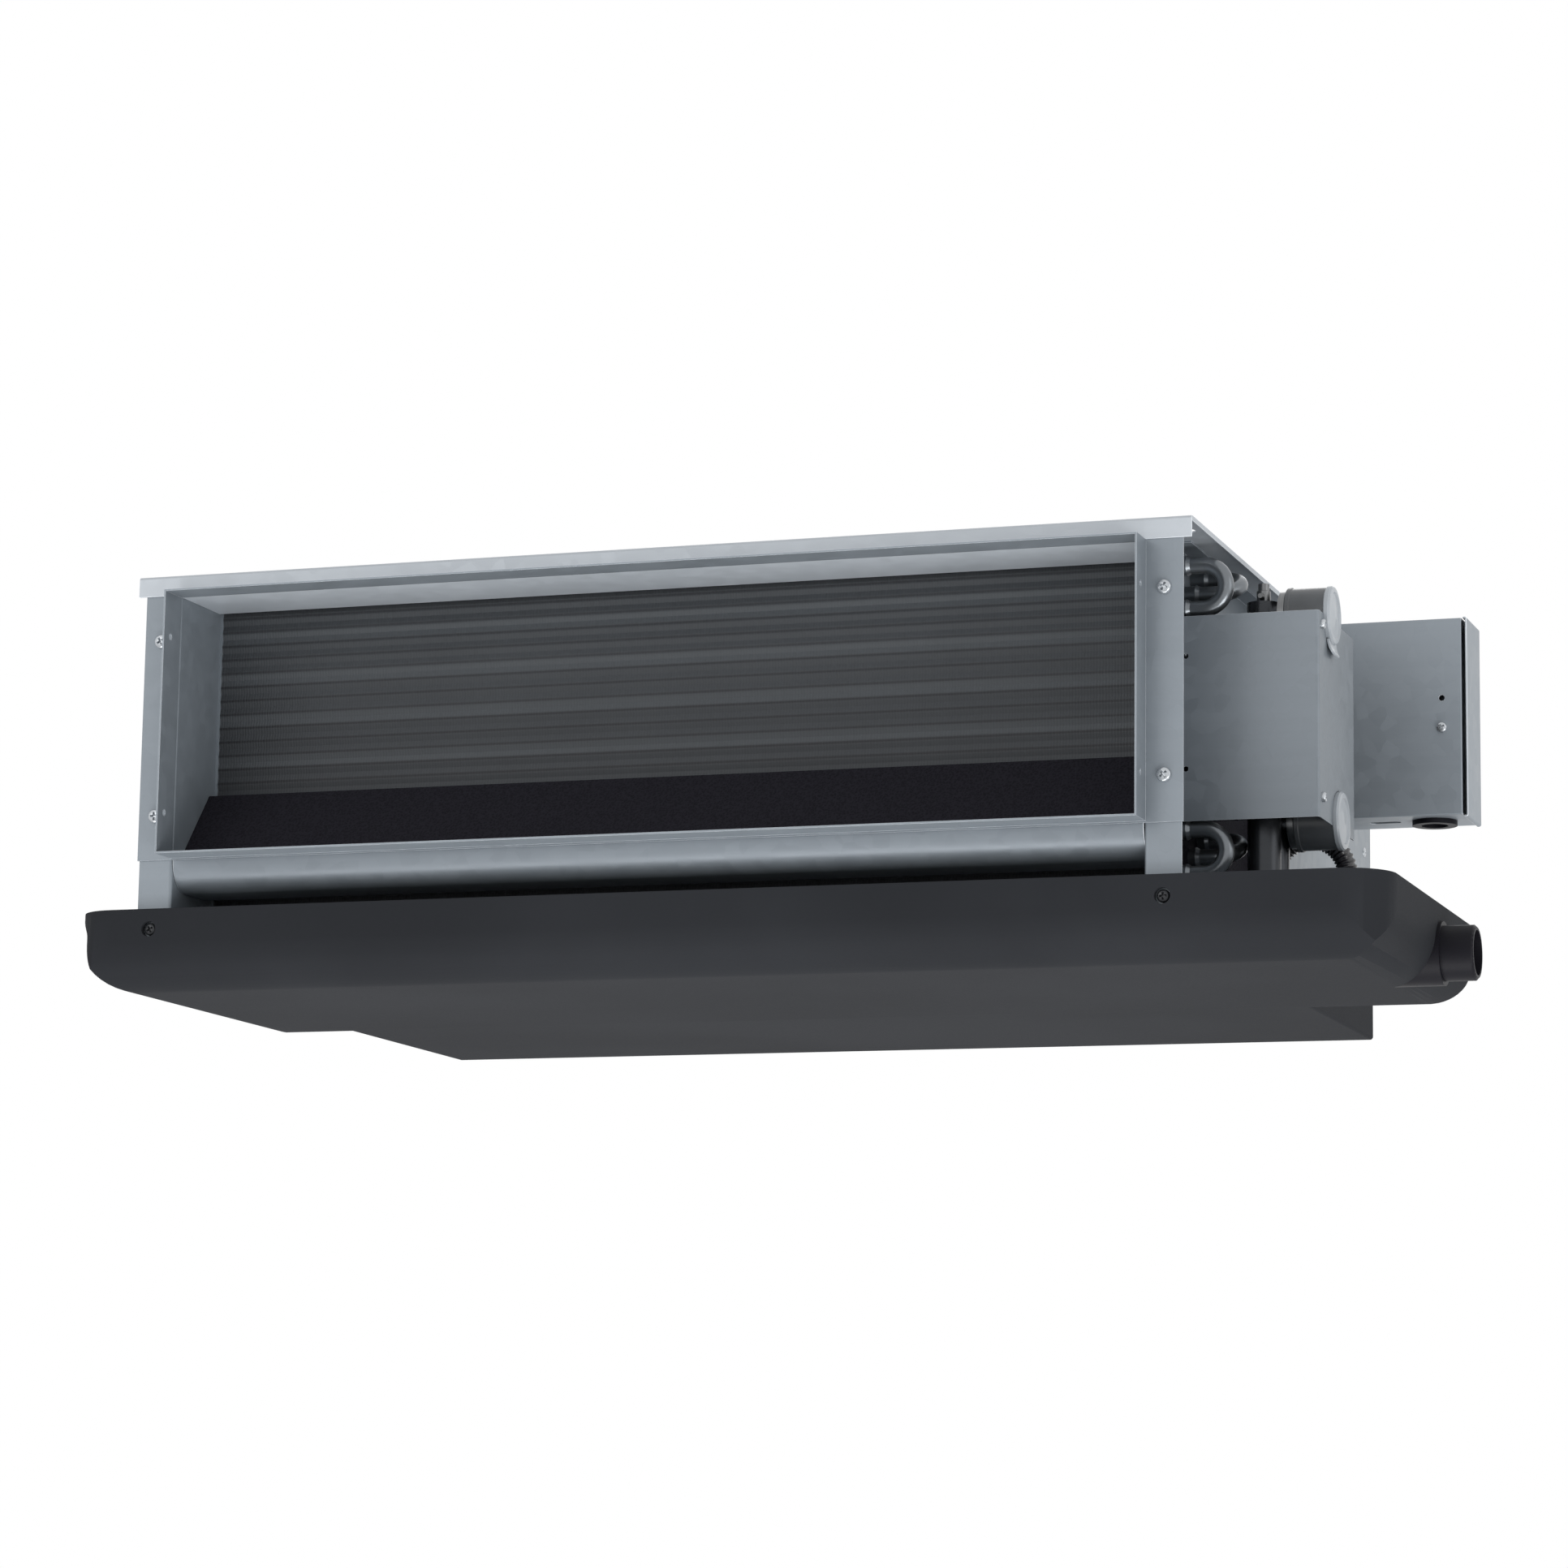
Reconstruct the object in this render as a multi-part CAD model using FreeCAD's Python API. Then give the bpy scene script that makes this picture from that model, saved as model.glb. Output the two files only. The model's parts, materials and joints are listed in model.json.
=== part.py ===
import FreeCAD, Part
import math
import os

# Horizontal concealed fan coil unit, hung under a ceiling by four rods.
# Millimetres. X runs along the air outlet, Y from the outlet to the rear inlet, Z up.
# Z = 0 is the top face that the hanger nuts pull against. The pieces are drawn with Y = 0
# at the outlet flange, and saved with the middle of the hanger holes as the origin.

V = FreeCAD.Vector
os.makedirs("parts", exist_ok=True)

# driving dimensions
SHEET = 1.0                  # galvanised casing sheet
CASE_HALF = 320.0            # half width over the outlet flanges and the fan section
CASE_DEPTH = 498.0           # outlet flange face to the rear face
CASE_H = 238.0               # top face to the underside of the fan section
TOP_OVER = 5.0               # overhang of the top panel at each side
TOP_LIP = 3.0                # folded side edges of the top panel
FLANGE_W = 21.5              # outlet flange beside the coil section
BEND_R = 1.0                 # inside radius of the sheet folds

TOP_SEAT = 11.0              # turned-out seat of the sides under the top panel
TOP_SEAT_BACK = 25.0         # behind the front hanger holes
LEG_W = 22.0                 # web of the pan legs
END_GAP = 0.3                # between the sides and the sheets that span them
TIGHT_R = 0.3                # inside radius of the tightest folds
CUT = 5.0                    # length of a tool that cuts through a sheet

HANG_R = 6.0                 # hanger hole radius, for 10 mm rods
HANG_IN = 8.0                # hanger holes inside the casing width
HANG_FRONT_Y = 35.0
EAR_LEN = 24.0               # rear hanger ears
EAR_HALF = 13.0
EAR_ROUND = 6.0

COLLAR_LEN = 20.5            # outlet collar in front of the flange
COLLAR_TOP = -12.5
FOLD_GAP = 0.1               # top panel fold above the collar
COLLAR_BOT = -171.5
WEB_UP = 8.0                 # lower edge of the sides above their legs' ends
SCREW_R = 1.6                # sheet screw shank
SCREW_HEAD_R = 4.2
SCREW_HEAD_H = 2.6
HOLE_GAP = 0.1               # round a screw shank
FLANGE_SCREW_Z = (-40.0, -146.0)
FLANGE_SCREW_IN = 11.0
COLLAR_HOLE_R = 2.0
COLLAR_HOLE_Y = -12.0

SILL_R = 17.0                # rounded nose below the outlet
SILL_DROP = 19.5
SILL_BACK = 44.0
BAFFLE_Z = -126.0            # where the sloping baffle meets the coil
BAFFLE_FOOT = 17.0
BAFFLE_R = 3.0
SOFFIT_GAP = 1.5             # soffit to the coil face
FOAM = 5.0
FOAM_SHORT = 5.0             # foam shorter than the baffle at each edge

COIL_Y = 55.0                # front face of the fins
COIL_TOP = -8.0
ROW_PITCH = 22.0
ROWS = 3
TUBE_PITCH = 25.4
TUBES_HIGH = 8
TUBE_R = 4.76
ROUND_SIDES = 12             # flats of the small tubes, which repeat
TURN_STEPS = 6               # mitred runs of a half turn
BEND_STUB = 18.0             # straight length outside the tube sheet
RIPPLES = 3                  # fin ripples per tube
RIPPLE = 1.1
TUBE_SHEET = 1.5
PLATE_OVER = 3.0             # tube sheets above and behind the fins
PLATE_UNDER = 2.0
PLATE_LIP = 12.0
WINDOW_IN = 3.0              # side panel's window inside the tube sheet
WINDOW_EDGE = 1.0

HEADER_OUT = 46.5            # header axis outside the coil section
HEADER_R = 9.5
HEADER_TOP = -34.0
NECK_R = 8.0
SOCKET_R = 14.9
SOCKET_OUT = 11.0            # socket outside the header axis
SOCKET_LEN = 28.0
SOCKET_WALL = 2.9
SOCKET_FLOOR = 5.0
CAP_R = 17.0
CAP_END = 3.0
CAP_LEN = 24.0               # over the socket
CAP_CHAMFER = 1.5
CAP_GAP = 0.1
RETURN_Z = -43.0
SUPPLY_Z = -158.0
VENT_R = 4.0
VENT_H = 7.0
VENT_FLOOR = 2.0
VENT_SEAT = 3.0              # screw's end above the header
VENT_LIFT = 0.3              # under the screw's head
VENT_NOZZLE_R = 1.4
VENT_NOZZLE_LEN = 5.0
VENT_SCREW_R = 1.8
VENT_HEAD_R = 3.2
VENT_HEAD_H = 4.0
VENT_SLOT = 1.0
VENT_SLOT_DEEP = 1.5
RUN_GAP = 0.05               # radial clearance of turning parts

BRACKET_Y = 59.0             # front face of the pipe bracket
BRACKET_W = 85.0
BRACKET_BACK = 150.0
BRACKET_TOP = -45.0
BRACKET_BOT = -163.0
BRACKET_FLANGE = 18.0
BRACKET_HOLE_IN = 8.0        # spare holes from the casing's side
BRACKET_HOLE_R = 1.6
BRACKET_HOLE_Z = (-68.0, -133.0)
BRACKET_HEAD_R = 3.4
LOW_HEAD_H = 2.2
SLOT_GAP = 0.4               # round the water caps
WALL_SCREW_Y = 7.5           # screws in the bracket's side wall
WALL_SCREW_DOWN = 7.0
WALL_SCREW_UP = 12.0
WALL_HEAD_R = 2.9

DECK_Y = 246.0               # front face of the fan deck
PAN_LEFT = 33.0              # pan outside the casing, left and right
PAN_RIGHT = 114.0
PAN_FLARE = 9.0              # flared rim at the left end
FLARE_H = 13.0
FLARE_R = 8.0
PAN_DROP = 11.0              # below the fan section
PAN_H = 47.0
PAN_STEEL = 1.2
PAN_FOAM = 4.0
PAN_CORNER = 28.0            # front corners in plan
PAN_REAR_CORNER = 6.0
PAN_ROUND = 27.0             # along the bottom edges
PAN_REAR_GAP = 2.0           # casing sheets to the pan's rear wall
PAN_RIM_GAP = 0.5
SPIGOT_Y = 148.0
SPIGOT_R = 16.0
SPIGOT_WALL = 3.0
SPIGOT_LEN = 21.0
SPIGOT_COLLAR = 2.0          # base collar against the pan
SPIGOT_BASE = 2.5            # base collar wider than the spigot
SPIGOT_UP = 0.3              # bore above the pan's floor
SPIGOT_CHAMFER = 1.5
PAN_SCREW_UP = 35.0          # above the pan's underside
PAN_HEAD_R = 3.8
PAN_HEAD_H = 2.4
PAN_HEAD_GAP = 0.8           # foam round the pan screws' heads
PAN_SCREW_LEN = 4.5

FAN_UP = 110.0               # shaft axis above the fan section's bottom
WHEEL_R = 75.0
WHEEL_LEN = 168.0
BLADE_DEPTH = 11.0
BLADE_T = 0.9
BLADES = 32
SHAFT_R = 6.0
SCROLL_IN = 41.0             # scroll side inside the casing width
SCROLL_W = 190.0
SCROLL_GAP = 6.0             # wheel to scroll at the tongue
SCROLL_GROW = 27.0           # growth of the spiral over three quarters of a turn
INLET_R = 62.0
TONGUE_DEG = 20.0
SCROLL_RIM = 7.0             # outlet flange of the scrolls
ROLL_DEEP = 4.5              # rolled inlet edge
ROLL_UP = 1.5
RING_DEEP = 3.0              # end rings of the wheels, inside the blades' tips
RING_LEN = 2.0
DISC_T = 1.6
HUB_R = 12.0
HUB_LEN = 28.0
HUB_GAP = 0.02
SHAFT_END = 16.0             # shaft past the middle of each wheel
ROTOR_HALF = 26.0

MOTOR_R = 47.0
MOTOR_LEN = 92.0
MOTOR_WALL = 2.0
MOTOR_CHAMFER = 7.0
BOSS_R = 13.0
BOSS_LEN = 14.0
RING_R = 21.0                # rubber ring round the motor boss
RING_W = 10.0
STATOR_IN = 29.0
ROTOR_GAP = 0.6
CRADLE_T = 2.0
CRADLE_DROP = 56.0           # shaft axis to the cradle shelf
CRADLE_BACK = 50.0
CRADLE_LIP = 14.0
POST_FOOT = 34.0             # half widths of the motor's posts
POST_HEAD = 27.0
STRAP_T = 1.5
STRAP_W = 6.0
BEAD_UP = 3.0                # seam round the motor's shell
BEAD_W = 3.0

BOX_W = 110.0
BOX_BEHIND = 8.0             # box front behind the fan deck
BOX_DEPTH = 44.0
BOX_TOP = -13.5
BOX_BOT = -133.0
GROOVE = 3.0
GLAND_OUT = 86.0             # grommet outside the casing
GLAND_R = 13.5
GLAND_BORE = 8.0
GLAND_FLANGE = 3.0
GLAND_NECK = 2.5             # hole in the box inside the grommet's rim
GLAND_LIP = 2.0
GLAND_LIP_IN = 0.8
ENTRY_OUT = (36.0, 24.0)     # spare entry slot inside the grommet
ENTRY_R = 3.5
BOX_EDGE = 1.0
BOX_HOLE_IN = 15.0
BOX_HOLE_R = 1.8
BOX_HOLE_Z = -62.0
BOX_SCREW_Z = -80.0
BOX_HEAD_R = 3.2
COVER_LIP = 2.5
TAB_FRONT = 14.0
TAB_BACK = 12.0
POLE = 12.8                  # terminal block, one pole
POLES = 5
BLOCK_IN = 20.0
BLOCK_DEEP = 14.0
BLOCK_Z = (-84.0, -66.0)
BLOCK_HOLE_R = 3.0

RAIL_BACK = 13.0             # filter rails, front leg to the rear face
RAIL_IN = 10.0               # filter slot width
RAIL_TOP = -10.0
RAIL_UP = 10.0               # above the fan section's bottom
RAIL_LEG = 10.0
FILTER_GAP = 0.4
FILTER_RIM = 14.0
FILTER_CELLS = 3
FILTER_BAR = 2.0             # half width of the rim's cross bars
MESH_EDGE = 6.0              # rim round the net's edge
TRAY_UP = 24.0               # sides of the fan section's bottom
REAR_RIM = 14.0
MESH_T = 1.0
END_FOAM = 3.0               # foam over the coil's ends
END_FOAM_Y0 = 61.0
END_FOAM_TOP = -2.5
END_FOAM_UP = 2.0            # above the sides' lower edge
END_FOAM_GAP = 0.5           # round the tube stubs
LOOP_R = 6.0                 # lead sleeve
LOOP_Y = 134.0
LOOP_OUT = 20.0              # its inner leg outside the casing
LOOP_W = 43.0
LOOP_TOP = -164.0

# derived places
SIDE_HALF = CASE_HALF - FLANGE_W  # half width over the coil section sides
TOP_HALF = CASE_HALF + TOP_OVER
HANG_HALF_X = CASE_HALF - HANG_IN
LEG_OUT = CASE_HALF - SHEET
FLANGE_SCREW_X = CASE_HALF - FLANGE_SCREW_IN
PAN_SCREW_X = FLANGE_SCREW_X
HEADER_X = SIDE_HALF + HEADER_OUT
SOCKET_X0 = HEADER_X + SOCKET_OUT
SOCKET_X1 = SOCKET_X0 + SOCKET_LEN
BRACKET_X = SIDE_HALF + BRACKET_W
PAN_X0 = -CASE_HALF - PAN_LEFT
PAN_X1 = CASE_HALF + PAN_RIGHT
WHEEL_X = CASE_HALF - SCROLL_IN - SCROLL_W / 2 - 2 * SHEET  # middle of each wheel
FAN_Y = (DECK_Y + CASE_DEPTH) / 2
BOX_X1 = CASE_HALF + BOX_W
BOX_Y0 = DECK_Y + BOX_BEHIND
GLAND_X = CASE_HALF + GLAND_OUT
RAIL_Y = CASE_DEPTH - RAIL_BACK
PAN_BOT = -CASE_H - PAN_DROP
PAN_TOP = PAN_BOT + PAN_H
PAN_WALL = PAN_STEEL + PAN_FOAM
FRAME_Y = 0.0                # front face of the outlet flange
LEG_Y = FRAME_Y + SHEET
PAN_Y0 = LEG_Y - PAN_WALL
PAN_Y1 = DECK_Y
COIL_H = TUBE_PITCH * TUBES_HIGH
COIL_BOT = COIL_TOP - COIL_H
COIL_Y1 = COIL_Y + ROW_PITCH * ROWS
HANG_REAR_Y = CASE_DEPTH + EAR_LEN / 2
ORIGIN_Y = (HANG_FRONT_Y + HANG_REAR_Y) / 2
TS_OUT = SIDE_HALF - SHEET   # outer face of the tube sheets
TOP_FOLD = -COLLAR_TOP - FOLD_GAP
LEG_BOT = PAN_BOT + PAN_ROUND  # the legs end where the pan starts to curve
WEB_BOT = LEG_BOT + WEB_UP
COIL_HALF = TS_OUT - TUBE_SHEET
PAN_SCREW_Z = PAN_BOT + PAN_SCREW_UP
RAIL_BOT = -CASE_H + RAIL_UP
FAN_Z = -CASE_H + FAN_UP


# helpers
def box(x0, x1, y0, y1, z0, z1):
    return Part.makeBox(x1 - x0, y1 - y0, z1 - z0, V(x0, y0, z0))


def cyl(p, d, r, h):
    return Part.makeCylinder(r, h, V(*p), V(*d))


def tube(p, d, r, ri, h):
    """A round tube from p along d."""
    return cyl(p, d, r, h).cut(cyl(p, d, ri, h))


PLANES = {"X": (V(0, 1, 0), V(0, 0, 1), V(1, 0, 0)),
          "Y": (V(1, 0, 0), V(0, 0, 1), V(0, 1, 0)),
          "Z": (V(1, 0, 0), V(0, 1, 0), V(0, 0, 1))}


def place(p, axis, a):
    u, v, w = PLANES[axis]
    return u * p[0] + v * p[1] + w * a


def extrude(edges, axis, a, b):
    face = Part.Face(Part.Wire(edges))
    body = face.extrude(PLANES[axis][2] * (b - a))
    if body.Volume < 0:
        body.reverse()
    return body


def line(p, q, axis, a):
    return Part.LineSegment(place(p, axis, a), place(q, axis, a)).toShape()


def arc(p, m, q, axis, a):
    return Part.Arc(place(p, axis, a), place(m, axis, a), place(q, axis, a)).toShape()


def prism(pts, axis, a, b):
    """A straight-sided outline extruded along an axis."""
    n = len(pts)
    return extrude([line(pts[i], pts[(i + 1) % n], axis, a) for i in range(n)], axis, a, b)


def rounded(pts, radii, axis, a, b):
    """An outline whose corners have their own radii, extruded along an axis."""
    n = len(pts)
    ends = []
    for i in range(n):
        p, c, q = pts[i - 1], pts[i], pts[(i + 1) % n]
        r = radii[i]
        d1 = unit((c[0] - p[0], c[1] - p[1]))
        d2 = unit((q[0] - c[0], q[1] - c[1]))
        turn = math.acos(max(-1, min(1, d1[0] * d2[0] + d1[1] * d2[1])))
        if r <= 0 or turn < 0.01:
            ends.append((c, None, c))
            continue
        k = r * math.tan(turn / 2)
        s = (c[0] - d1[0] * k, c[1] - d1[1] * k)
        e = (c[0] + d2[0] * k, c[1] + d2[1] * k)
        h = unit((d2[0] - d1[0], d2[1] - d1[1]))
        mid = r / math.cos(turn / 2) - r
        ends.append((s, (c[0] + h[0] * mid, c[1] + h[1] * mid), e))
    edges = []
    for i in range(n):
        s, m, e = ends[i]
        if m:
            edges.append(arc(s, m, e, axis, a))
        nxt = ends[(i + 1) % n][0]
        if math.dist(e, nxt) > 1e-6:
            edges.append(line(e, nxt, axis, a))
    return extrude(edges, axis, a, b)


def unit(d):
    k = math.hypot(*d)
    return (d[0] / k, d[1] / k)


def strip(pts, t, axis, a, b, radii=None):
    """Sheet folded along pts. t > 0 puts the sheet on the left of the path, and radii are inside radii."""
    n = len(pts)
    radii = radii or [BEND_R] * n
    dirs = [unit((pts[i + 1][0] - pts[i][0], pts[i + 1][1] - pts[i][1])) for i in range(n - 1)]

    def side(d):
        out = []
        nrm = (-dirs[0][1], dirs[0][0])
        last = (pts[0][0] + nrm[0] * d, pts[0][1] + nrm[1] * d)
        for i in range(1, n - 1):
            d1, d2 = dirs[i - 1], dirs[i]
            s = 1 if d1[0] * d2[1] - d1[1] * d2[0] > 0 else -1
            ref = radii[i] + max(t * s, 0)
            n1, n2 = (-d1[1], d1[0]), (-d2[1], d2[0])
            k = s * ref / (1 + n1[0] * n2[0] + n1[1] * n2[1])
            c = (pts[i][0] + (n1[0] + n2[0]) * k, pts[i][1] + (n1[1] + n2[1]) * k)
            r = ref - s * d
            m = unit((n1[0] + n2[0], n1[1] + n2[1]))
            p, q = (c[0] - n1[0] * s * r, c[1] - n1[1] * s * r), (c[0] - n2[0] * s * r, c[1] - n2[1] * s * r)
            out.append((last, None, p))
            out.append((p, (c[0] - m[0] * s * r, c[1] - m[1] * s * r), q))
            last = q
        nrm = (-dirs[-1][1], dirs[-1][0])
        out.append((last, None, (pts[-1][0] + nrm[0] * d, pts[-1][1] + nrm[1] * d)))
        return out

    near, far = side(0.0), side(t)
    segs = near + [(near[-1][2], None, far[-1][2])]
    segs += [(q, m, p) for p, m, q in reversed(far)] + [(far[0][0], None, near[0][0])]
    edges = [arc(p, m, q, axis, a) if m else line(p, q, axis, a) for p, m, q in segs]
    return extrude(edges, axis, a, b)


def join(*parts):
    body = parts[0].multiFuse(list(parts[1:])) if len(parts) > 1 else parts[0]
    return body.removeSplitter()


def mirror_x(s):
    return s.mirror(V(0, 0, 0), V(1, 0, 0))


def screw(p, d, head_r=SCREW_HEAD_R, head_h=SCREW_HEAD_H, length=6.0):
    """A pan-head sheet screw whose head seats at p and whose shank runs against d."""
    rim = head_h * 0.4
    top = V(*p) + V(*d) * rim
    return join(cyl(p, d, head_r, rim), Part.makeCone(head_r, head_r * 0.6, head_h - rim, top, V(*d)),
                cyl(p, (-d[0], -d[1], -d[2]), SCREW_R, length))


def ring_of_flats(p, d, r):
    """A closed outline of ROUND_SIDES flats round p, square to d, which isn't along Y."""
    u = V(d).cross(V(0, 1, 0)).normalize()
    v = V(d).cross(u).normalize()
    turns = [2 * math.pi * k / ROUND_SIDES for k in range(ROUND_SIDES)]
    corners = [p + u * (r * math.cos(a)) + v * (r * math.sin(a)) for a in turns]
    return Part.makePolygon(corners + [corners[0]])


def half_turn(start, end, out):
    """Corners of the mitred runs that go round from start to end, bulging along out."""
    mid = (start + end) * 0.5
    arm = start - mid
    step = math.pi / TURN_STEPS
    reach = 1 / math.cos(step / 2)
    turns = [step * (i + 0.5) for i in range(TURN_STEPS)]
    return [mid + arm * (reach * math.cos(a)) + out * (reach * arm.Length * math.sin(a)) for a in turns]


def mitred_tube(points, r):
    """A small tube of flats along straight runs with mitred corners."""
    return Part.makePolygon(points).makePipeShell([ring_of_flats(points[0], points[1] - points[0], r)],
                                                  True, False, 1)


def save(name, *solids):
    s = (solids[0] if len(solids) == 1 else Part.makeCompound(list(solids))).copy()
    s.translate(V(0, -ORIGIN_Y, 0))
    s.exportStep("parts/%s.step" % name)


# casing
top = strip([(CASE_DEPTH, 0), (-SHEET, 0), (-SHEET, -TOP_FOLD)], SHEET, "X", -TOP_HALF, TOP_HALF)
lip = box(TOP_HALF - SHEET, TOP_HALF, 0, CASE_DEPTH, -TOP_LIP, -SHEET)
ears = []
for s in (-1, 1):
    x = s * HANG_HALF_X
    ears.append(rounded([(x - EAR_HALF, CASE_DEPTH - 1), (x + EAR_HALF, CASE_DEPTH - 1),
                         (x + EAR_HALF, CASE_DEPTH + EAR_LEN), (x - EAR_HALF, CASE_DEPTH + EAR_LEN)],
                        [0, 0, EAR_ROUND, EAR_ROUND], "Z", -SHEET, 0))
top = join(top, lip, mirror_x(lip), *ears)
for s in (-1, 1):
    for y in (HANG_FRONT_Y, HANG_REAR_Y):
        top = top.cut(cyl((s * HANG_HALF_X, y, -CUT), (0, 0, 1), HANG_R, 2 * CUT))
save("top_panel", top)

hole_r = SCREW_R + HOLE_GAP


def side_panel():
    """Right-hand side of the coil section, with its outlet flange and pan leg."""
    s = strip([(SIDE_HALF, DECK_Y), (SIDE_HALF, LEG_Y + SHEET), (LEG_OUT, LEG_Y + SHEET)],
              -SHEET, "Z", LEG_BOT, -SHEET)
    s = s.cut(box(0, SIDE_HALF + SHEET, LEG_Y + LEG_W, DECK_Y + 1, LEG_BOT - 1, WEB_BOT))
    s = s.cut(box(0, SIDE_HALF + SHEET, DECK_Y - PAN_WALL - PAN_REAR_GAP, DECK_Y + 1,
                  WEB_BOT - 1, PAN_TOP + PAN_RIM_GAP))
    seat = box(SIDE_HALF - SHEET, SIDE_HALF + TOP_SEAT, HANG_FRONT_Y + TOP_SEAT_BACK, DECK_Y - SHEET,
               -2 * SHEET, -SHEET)
    s = join(s, seat)
    s = s.cut(box(0, CASE_HALF, COIL_Y + WINDOW_IN, COIL_Y1 - WINDOW_IN,
                  COIL_BOT + WINDOW_EDGE, COIL_TOP - WINDOW_EDGE))
    for z in FLANGE_SCREW_Z:
        s = s.cut(cyl((FLANGE_SCREW_X, 0, z), (0, 1, 0), hole_r, CUT))
    s = s.cut(cyl((PAN_SCREW_X, 0, PAN_SCREW_Z), (0, 1, 0), hole_r, CUT))
    return s


side = side_panel()
save("side_panel_left", mirror_x(side))

frame = box(-CASE_HALF, CASE_HALF, FRAME_Y, FRAME_Y + SHEET, COLLAR_BOT - SHEET, -SHEET - BEND_R)
frame = join(frame, box(-SIDE_HALF, SIDE_HALF, FRAME_Y - COLLAR_LEN, FRAME_Y, COLLAR_BOT, COLLAR_TOP))
frame = frame.cut(box(-SIDE_HALF + SHEET, SIDE_HALF - SHEET, -COLLAR_LEN - 1, LEG_Y + 1,
                      COLLAR_BOT + SHEET, COLLAR_TOP - SHEET))
for s in (-1, 1):
    for z in FLANGE_SCREW_Z:
        frame = frame.cut(cyl((s * FLANGE_SCREW_X, -1, z), (0, 1, 0), hole_r, CUT))
        frame = frame.cut(cyl((s * (SIDE_HALF - CUT / 2), COLLAR_HOLE_Y, z), (s, 0, 0), COLLAR_HOLE_R, CUT))
save("outlet_frame", frame)
save("outlet_screws", *[screw((s * FLANGE_SCREW_X, FRAME_Y, z), (0, -1, 0))
                        for s in (-1, 1) for z in FLANGE_SCREW_Z])

SILL_TOP = COLLAR_BOT
sill_path = [(COIL_Y - SHEET, BAFFLE_Z), (BAFFLE_FOOT, SILL_TOP), (LEG_Y, SILL_TOP),
             (LEG_Y, SILL_TOP - SILL_DROP), (SILL_BACK, SILL_TOP - SILL_DROP)]
sill_half = TS_OUT - END_GAP
sill = strip(sill_path, SHEET, "X", -sill_half, sill_half, [0, BAFFLE_R, TIGHT_R, SILL_R, 0])
save("outlet_sill", sill)

soffit_back = COIL_Y - SOFFIT_GAP
save("outlet_soffit", strip([(LEG_Y, COLLAR_TOP - SHEET), (soffit_back, COLLAR_TOP - SHEET),
                             (soffit_back, -SHEET)], SHEET, "X", -sill_half, sill_half))

slope = unit((sill_path[1][0] - sill_path[0][0], sill_path[1][1] - sill_path[0][1]))
foam0 = (sill_path[0][0] + slope[0] * FOAM_SHORT, sill_path[0][1] + slope[1] * FOAM_SHORT)
foam1 = (sill_path[1][0] - slope[0] * FOAM_SHORT, sill_path[1][1] - slope[1] * FOAM_SHORT)
save("baffle_insulation", strip([foam0, foam1], -FOAM, "X", -sill_half, sill_half))

# coil
folds = 2 * TUBES_HIGH * RIPPLES
fold_h = COIL_H / folds
front = [(COIL_Y + (RIPPLE if i % 2 else 0), COIL_TOP - fold_h * i) for i in range(folds + 1)]
back = [(COIL_Y1 - RIPPLE + (RIPPLE if i % 2 else 0), COIL_TOP - fold_h * i) for i in range(folds + 1)]
save("coil_core", prism(front + back[::-1], "X", -COIL_HALF, COIL_HALF))


def tube_at(row, k):
    """Centre of tube k, counted from the top, in a row counted from the front."""
    z = COIL_TOP - TUBE_PITCH * (k + (0.75 if row % 2 else 0.25))
    return (COIL_Y + ROW_PITCH * (row + 0.5), z)


def sheet_plate():
    back, low, high = COIL_Y1 + PLATE_OVER, COIL_BOT - PLATE_UNDER, COIL_TOP + PLATE_OVER
    p = box(COIL_HALF, TS_OUT, COIL_Y, back, low, high)
    return join(p, box(COIL_HALF - PLATE_LIP, COIL_HALF + 1, back - TUBE_SHEET, back, low, high))


plate = sheet_plate()
save("tube_sheet_right", plate)
save("tube_sheet_left", mirror_x(plate))


def u_bend(a, b):
    """A return bend outside the right tube sheet, between two tube centres."""
    pa, pb = V(TS_OUT, *a), V(TS_OUT, *b)
    out = V(1, 0, 0)
    return mitred_tube([pa, *half_turn(pa + out * BEND_STUB, pb + out * BEND_STUB, out), pb], TUBE_R)


right_bends, left_bends = [], []
for c in range(TUBES_HIGH // 2):
    hi, lo = 2 * c, 2 * c + 1
    right_bends.append(u_bend(tube_at(0, hi), tube_at(0, lo)))
    right_bends.append(u_bend(tube_at(1, hi), tube_at(2, hi)))
    left_bends.append(mirror_x(u_bend(tube_at(0, hi), tube_at(1, hi))))
    left_bends.append(mirror_x(u_bend(tube_at(0, lo), tube_at(1, lo))))
    left_bends.append(mirror_x(u_bend(tube_at(2, hi), tube_at(2, lo))))
save("return_bends", *right_bends, *left_bends)

end_foam = box(SIDE_HALF, SIDE_HALF + END_FOAM, END_FOAM_Y0, PAN_Y1 - PAN_WALL - PAN_REAR_GAP,
               WEB_BOT + END_FOAM_UP, END_FOAM_TOP)
for row in range(ROWS):
    for k in range(TUBES_HIGH):
        hole = ring_of_flats(V(SIDE_HALF - 1, *tube_at(row, k)), V(1, 0, 0), TUBE_R + END_FOAM_GAP)
        end_foam = end_foam.cut(Part.Face(hole).extrude(V(END_FOAM + 2, 0, 0)))
save("end_insulation_right", end_foam)
save("end_insulation_left", mirror_x(end_foam))


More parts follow.
